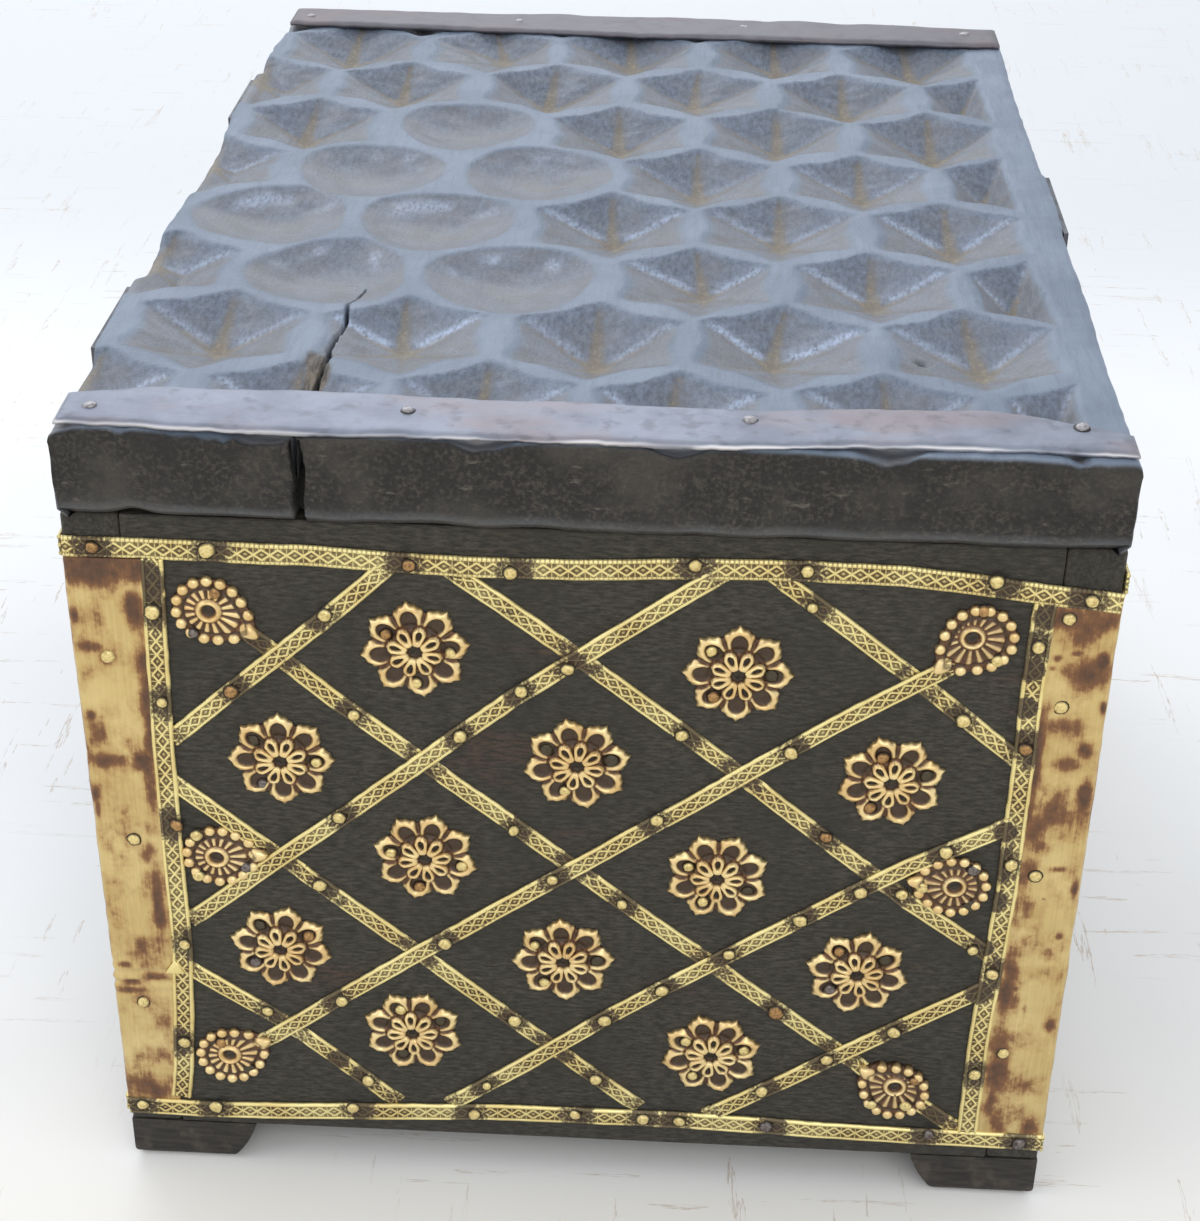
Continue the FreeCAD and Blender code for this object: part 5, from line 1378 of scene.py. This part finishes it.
def sheetPatch(end, face, seed):
    # Round one corner: along the end, through the bend and along the long side; rows go up it
    signX, signY = (1 if face == "front" else -1), (1 if end == "far" else -1)
    top = 177.2
    places = stains.get((end, face), ())
    z = np.linspace(sheet["foot"], top, 280 if places else 120)[:, None]
    x0 = (halves["near"] - 17) * signX + 0 * z
    if (end, face) in sheetEdges:
        (lowX, lowZ), (highX, highZ) = sheetEdges[end, face]
        x0 = lowX + (highX - lowX) * (z - lowZ) / (highZ - lowZ)
    x0 = x0 - signX * (0.6 + 0.5 * ripple(z, 4, seed))
    y0 = (halves["front"] - sheet["reach"]) * signY + 0 * z + 0.4 * ripple(z, 5, seed + 1)
    halfX, halfY, bend = chest["halfWidth"] + sheet["out"], chest["halfLength"] + sheet["out"], sheet["corner"]
    turnX, turnY = signX * (halfX - bend), signY * (halfY - bend)
    across = 36 if places else 22
    first = np.linspace(0, 1, across)
    second = np.linspace(0, 1, 22)
    arc = np.linspace(0, math.pi / 2, 7)[1:-1]
    flat = np.concatenate([
        np.stack([x0 + (turnX - x0) * first, signY * halfY + 0 * z * first], -1),
        np.stack(np.broadcast_arrays(signX * (halfX - bend + bend * np.sin(arc)) + 0 * z,
                                     signY * (halfY - bend + bend * np.cos(arc)) + 0 * z), -1),
        np.stack([signX * halfX + 0 * z * second, turnY + (y0 - turnY) * second], -1),
    ], axis=1)
    normal = np.zeros_like(flat)
    normal[:, :across, 1] = signY
    normal[:, across:across + 5, 0] = signX * np.sin(arc)
    normal[:, across:across + 5, 1] = signY * np.cos(arc)
    normal[:, across + 5:, 0] = signX
    run = np.concatenate([[0], np.cumsum(np.hypot(*np.diff(flat[60], axis=0).T))])[None] + 0 * z
    zs = z + 0 * run
    dent = 0.14 * waver(run, zs, 9, seed + 2) + 0.07 * waver(run, zs, 3, seed + 3)
    if (end, face) == ("near", "back"):
        dent = dent + hump(zs - 59, 4) * (0.3 * np.sin(zs * 1.9 + run * 0.15) - 0.05)
    dent = dent - 0.4 * hump(zs - 124, 1.0) * step(waver(run, zs, 6, seed + 8), 0.0, 0.4)
    edge = np.minimum(np.minimum(run, run[:, -1:] - run), np.minimum(zs - sheet["foot"], top - zs))
    out = np.clip(dent - 0.2 * step(edge, 1.0, 0.0), -0.38, 0.3)
    outer = np.concatenate([flat + normal * out[..., None], zs[..., None]], -1)
    inner = np.concatenate([flat - normal * sheet["thickness"], zs[..., None]], -1)
    blotch = waver(run, zs * 0.7, 12, seed + 5) * 0.6 + waver(run, zs, 5, seed + 6) * 0.35
    corner = hump(run - run[:, across:across + 1], 2.0) * 0.25
    tarnish = np.clip(0.05 + blotch + corner + 0.3 * step(edge, 3, 0), 0, 1)
    if places:
        spread = np.zeros_like(zs)
        for x, up, wide, tall, strength in places:
            spot = np.exp(-((flat[..., 0] - x) / wide) ** 2 - ((zs - up) / tall) ** 2)
            spread = np.maximum(spread, strength * spot)
        spread = spread + (0.3 if face == "front" else 0.15) * blotch + 0.25 * corner
        ends = np.arange(flat.shape[1])[None] < across + 3
        tarnish = np.where(ends, np.clip(spread, 0, 1.2), tarnish)
    return shellPatch(outer, inner, {"tarnish": tarnish}, flip=signX * signY > 0)


for i, (end, face) in enumerate((e, f) for e in ("near", "far") for f in ("front", "back")):
    single = f"corner_sheet_{end}_{face}"
    patch = sheetPatch(end, face, 70 + 10 * i)
    buildPiece("brass_" + single, [patch], finishes["sheet"], "carcass", [single])
print("corner sheets made")


def roundedBox(low, high, radius, cell, worn, seed):
    # Six grids wrapped round a box: a point goes to the inner box plus the radius along what is left over.
    # Its surface dips a little at random, and a little more on the edges.
    low, high = np.array(low, float), np.array(high, float)
    points, faces, start = [], [], 0
    for axis in range(3):
        for sign in (-1, 1):
            a, b = (axis + 1) % 3, (axis + 2) % 3
            runs = []
            for k in (a, b):
                inside = np.linspace(low[k] + radius, high[k] - radius, max(2, int((high[k] - low[k]) / cell)))
                bend = np.array([0, 0.3, 0.65]) * radius
                runs.append(np.concatenate([low[k] + bend, inside, high[k] - bend[::-1]]))
            p, q = np.meshgrid(*runs, indexing="ij")
            grid = np.zeros((*p.shape, 3))
            grid[..., a], grid[..., b] = p, q
            grid[..., axis] = high[axis] if sign > 0 else low[axis]
            points.append(grid.reshape(-1, 3))
            faces.append(gridFaces(*p.shape, flip=sign > 0) + start)
            start += p.size
    points = np.concatenate(points)
    core = np.clip(points, low + radius, high - radius)
    away = points - core
    distance = np.maximum(np.linalg.norm(away, axis=1, keepdims=True), 1e-9)
    shell = core + away / distance * radius
    edge = step(np.sort(np.abs(away) / radius, axis=1)[:, 1], 0.3, 0.8)
    dip = 0.5 + 0.5 * waver(shell[:, 0] + shell[:, 1], shell[:, 2] + shell[:, 1] * 0.3, 6, seed)
    chip = np.clip(waver(shell[:, 0] + shell[:, 1], shell[:, 2], 3.4, seed + 1) - 0.45, 0, 1) * edge * 1.6
    shell = shell - away / distance * (worn * dip * (0.3 + 0.7 * edge) + chip * worn)[:, None]
    return {"points": shell, "faces": faces, "fields": {"edge": edge}}


boards = {
    "front_board": ("longBoard", 1.2, 5.0), "back_board": ("longBoard", 1.2, 5.0),
    "end_board_near": ("endBoard", 0.5, 3.5), "end_board_far": ("endBoard", 0.5, 4.5),
    "bottom_board": ("longBoard", 0.6, 8.0),
}
for i, (single, (finish, radius, cell)) in enumerate(boards.items()):
    low, high = (np.array(corner) * 1000 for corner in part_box(single))
    piece = buildPiece("wood_" + single, [roundedBox(low, high, radius, cell, 0.12, 40 + 5 * i)], finishes[finish],
                       "carcass", [single])
    weld(piece, 0.02)

kept = {
    "foot_": "foot", "hinge_body_leaf": "hinge", "hinge_lid_leaf": "hinge", "hasp_plate": "hinge",
    "hasp_strap": "hinge", "staple_plate": "hinge", "staple": "iron", "hinge_body_nails": "iron",
    "hinge_lid_nails": "iron", "hasp_nails": "iron", "hinge_pin": "iron", "hasp_pin": "iron",
}
for single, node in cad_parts.items():
    start = next((k for k in kept if single.startswith(k)), None)
    if start and not node.hide_render:
        for holder in node.material_slots:
            holder.material = finishes[kept[start]]
print("boards made")


# Floor, backdrop and light

stage = {
    "floor": (240, 241, 242), "shade": (231, 232, 233), "warm": (233, 227, 213), "distant": (211, 213, 215),
    "background": (240, 243, 248), "glow": 1.08,
}


def floorPaint():
    # Off-white boards, faintly scratched and marked with warm brown
    g = Graph("floorPaint")
    base = g.mix(g.noise(260, 3).rise(0.3, 0.7), stage["floor"], stage["shade"])
    ahead = g.add("SeparateXYZ", None, {0: g.place}, out=1)
    base = g.mix(ahead.rise(-0.02, -0.42), base, stage["warm"])
    # Painted shade: farther back the floor is painted darker and greyer
    base = g.mix(ahead.rise(0.15, 0.6), base, stage["distant"])
    patch = g.noise(120, 3, shift=(3, 2, 0)).rise(0.42, 0.6)
    for i, stretch in enumerate(((14, 1, 1), (1, 14, 1))):
        scratch = g.noise(5, 5, stretch=stretch, roughness=0.6, shift=(i * 3, 0, 0)).peak(0.64, 0.016)
        base = g.mix(scratch * patch * 0.65, base, (182, 162, 140))
    return g.finish(Base_Color=base, Roughness=0.6, Specular_IOR_Level=0.2)


def setStage():
    floor = bpy.data.meshes.new("floor")
    floor.from_pydata([(-6, -6, 0), (6, -6, 0), (6, 8, 0), (-6, 8, 0)], [], [(0, 1, 2, 3)])
    floor.materials.append(floorPaint())
    ground = bpy.data.objects.new("floor", floor)
    bpy.context.collection.objects.link(ground)
    world = bpy.data.worlds.new("surround")
    bpy.context.scene.world = world
    world.use_nodes = True
    shade = world.node_tree.nodes["Background"]
    shade.inputs[0].default_value = (*colour(*stage["background"]), 1)
    shade.inputs[1].default_value = stage["glow"]


def addLight(name, place, target, size, power, tint):
    lamp = bpy.data.lights.new(name, "AREA")
    lamp.shape = "RECTANGLE"
    lamp.size, lamp.size_y = size
    lamp.energy = power
    lamp.color = tint
    holder = bpy.data.objects.new(name, lamp)
    ahead = Vector(target) - Vector(place)
    holder.matrix_world = Matrix.Translation(Vector(place)) @ ahead.to_track_quat("-Z", "Y").to_matrix().to_4x4()
    bpy.context.collection.objects.link(holder)


setStage()
addLight("rearPanel", (-0.5, 1.6, 1.3), (0, 0, 0.15), (1.8, 1.0), 13, (0.93, 0.96, 1.0))
addLight("leftPanel", (-1.5, -0.6, 1.2), (0, -0.1, 0.1), (1.2, 1.2), 5, (1.0, 0.98, 0.95))
addLight("frontPanel", (0.4, -1.9, 1.5), (0, -0.4, 0.0), (1.6, 1.0), 12, (1.0, 0.98, 0.94))
bpy.context.scene.view_settings.view_transform = "Standard"
print("stage set")
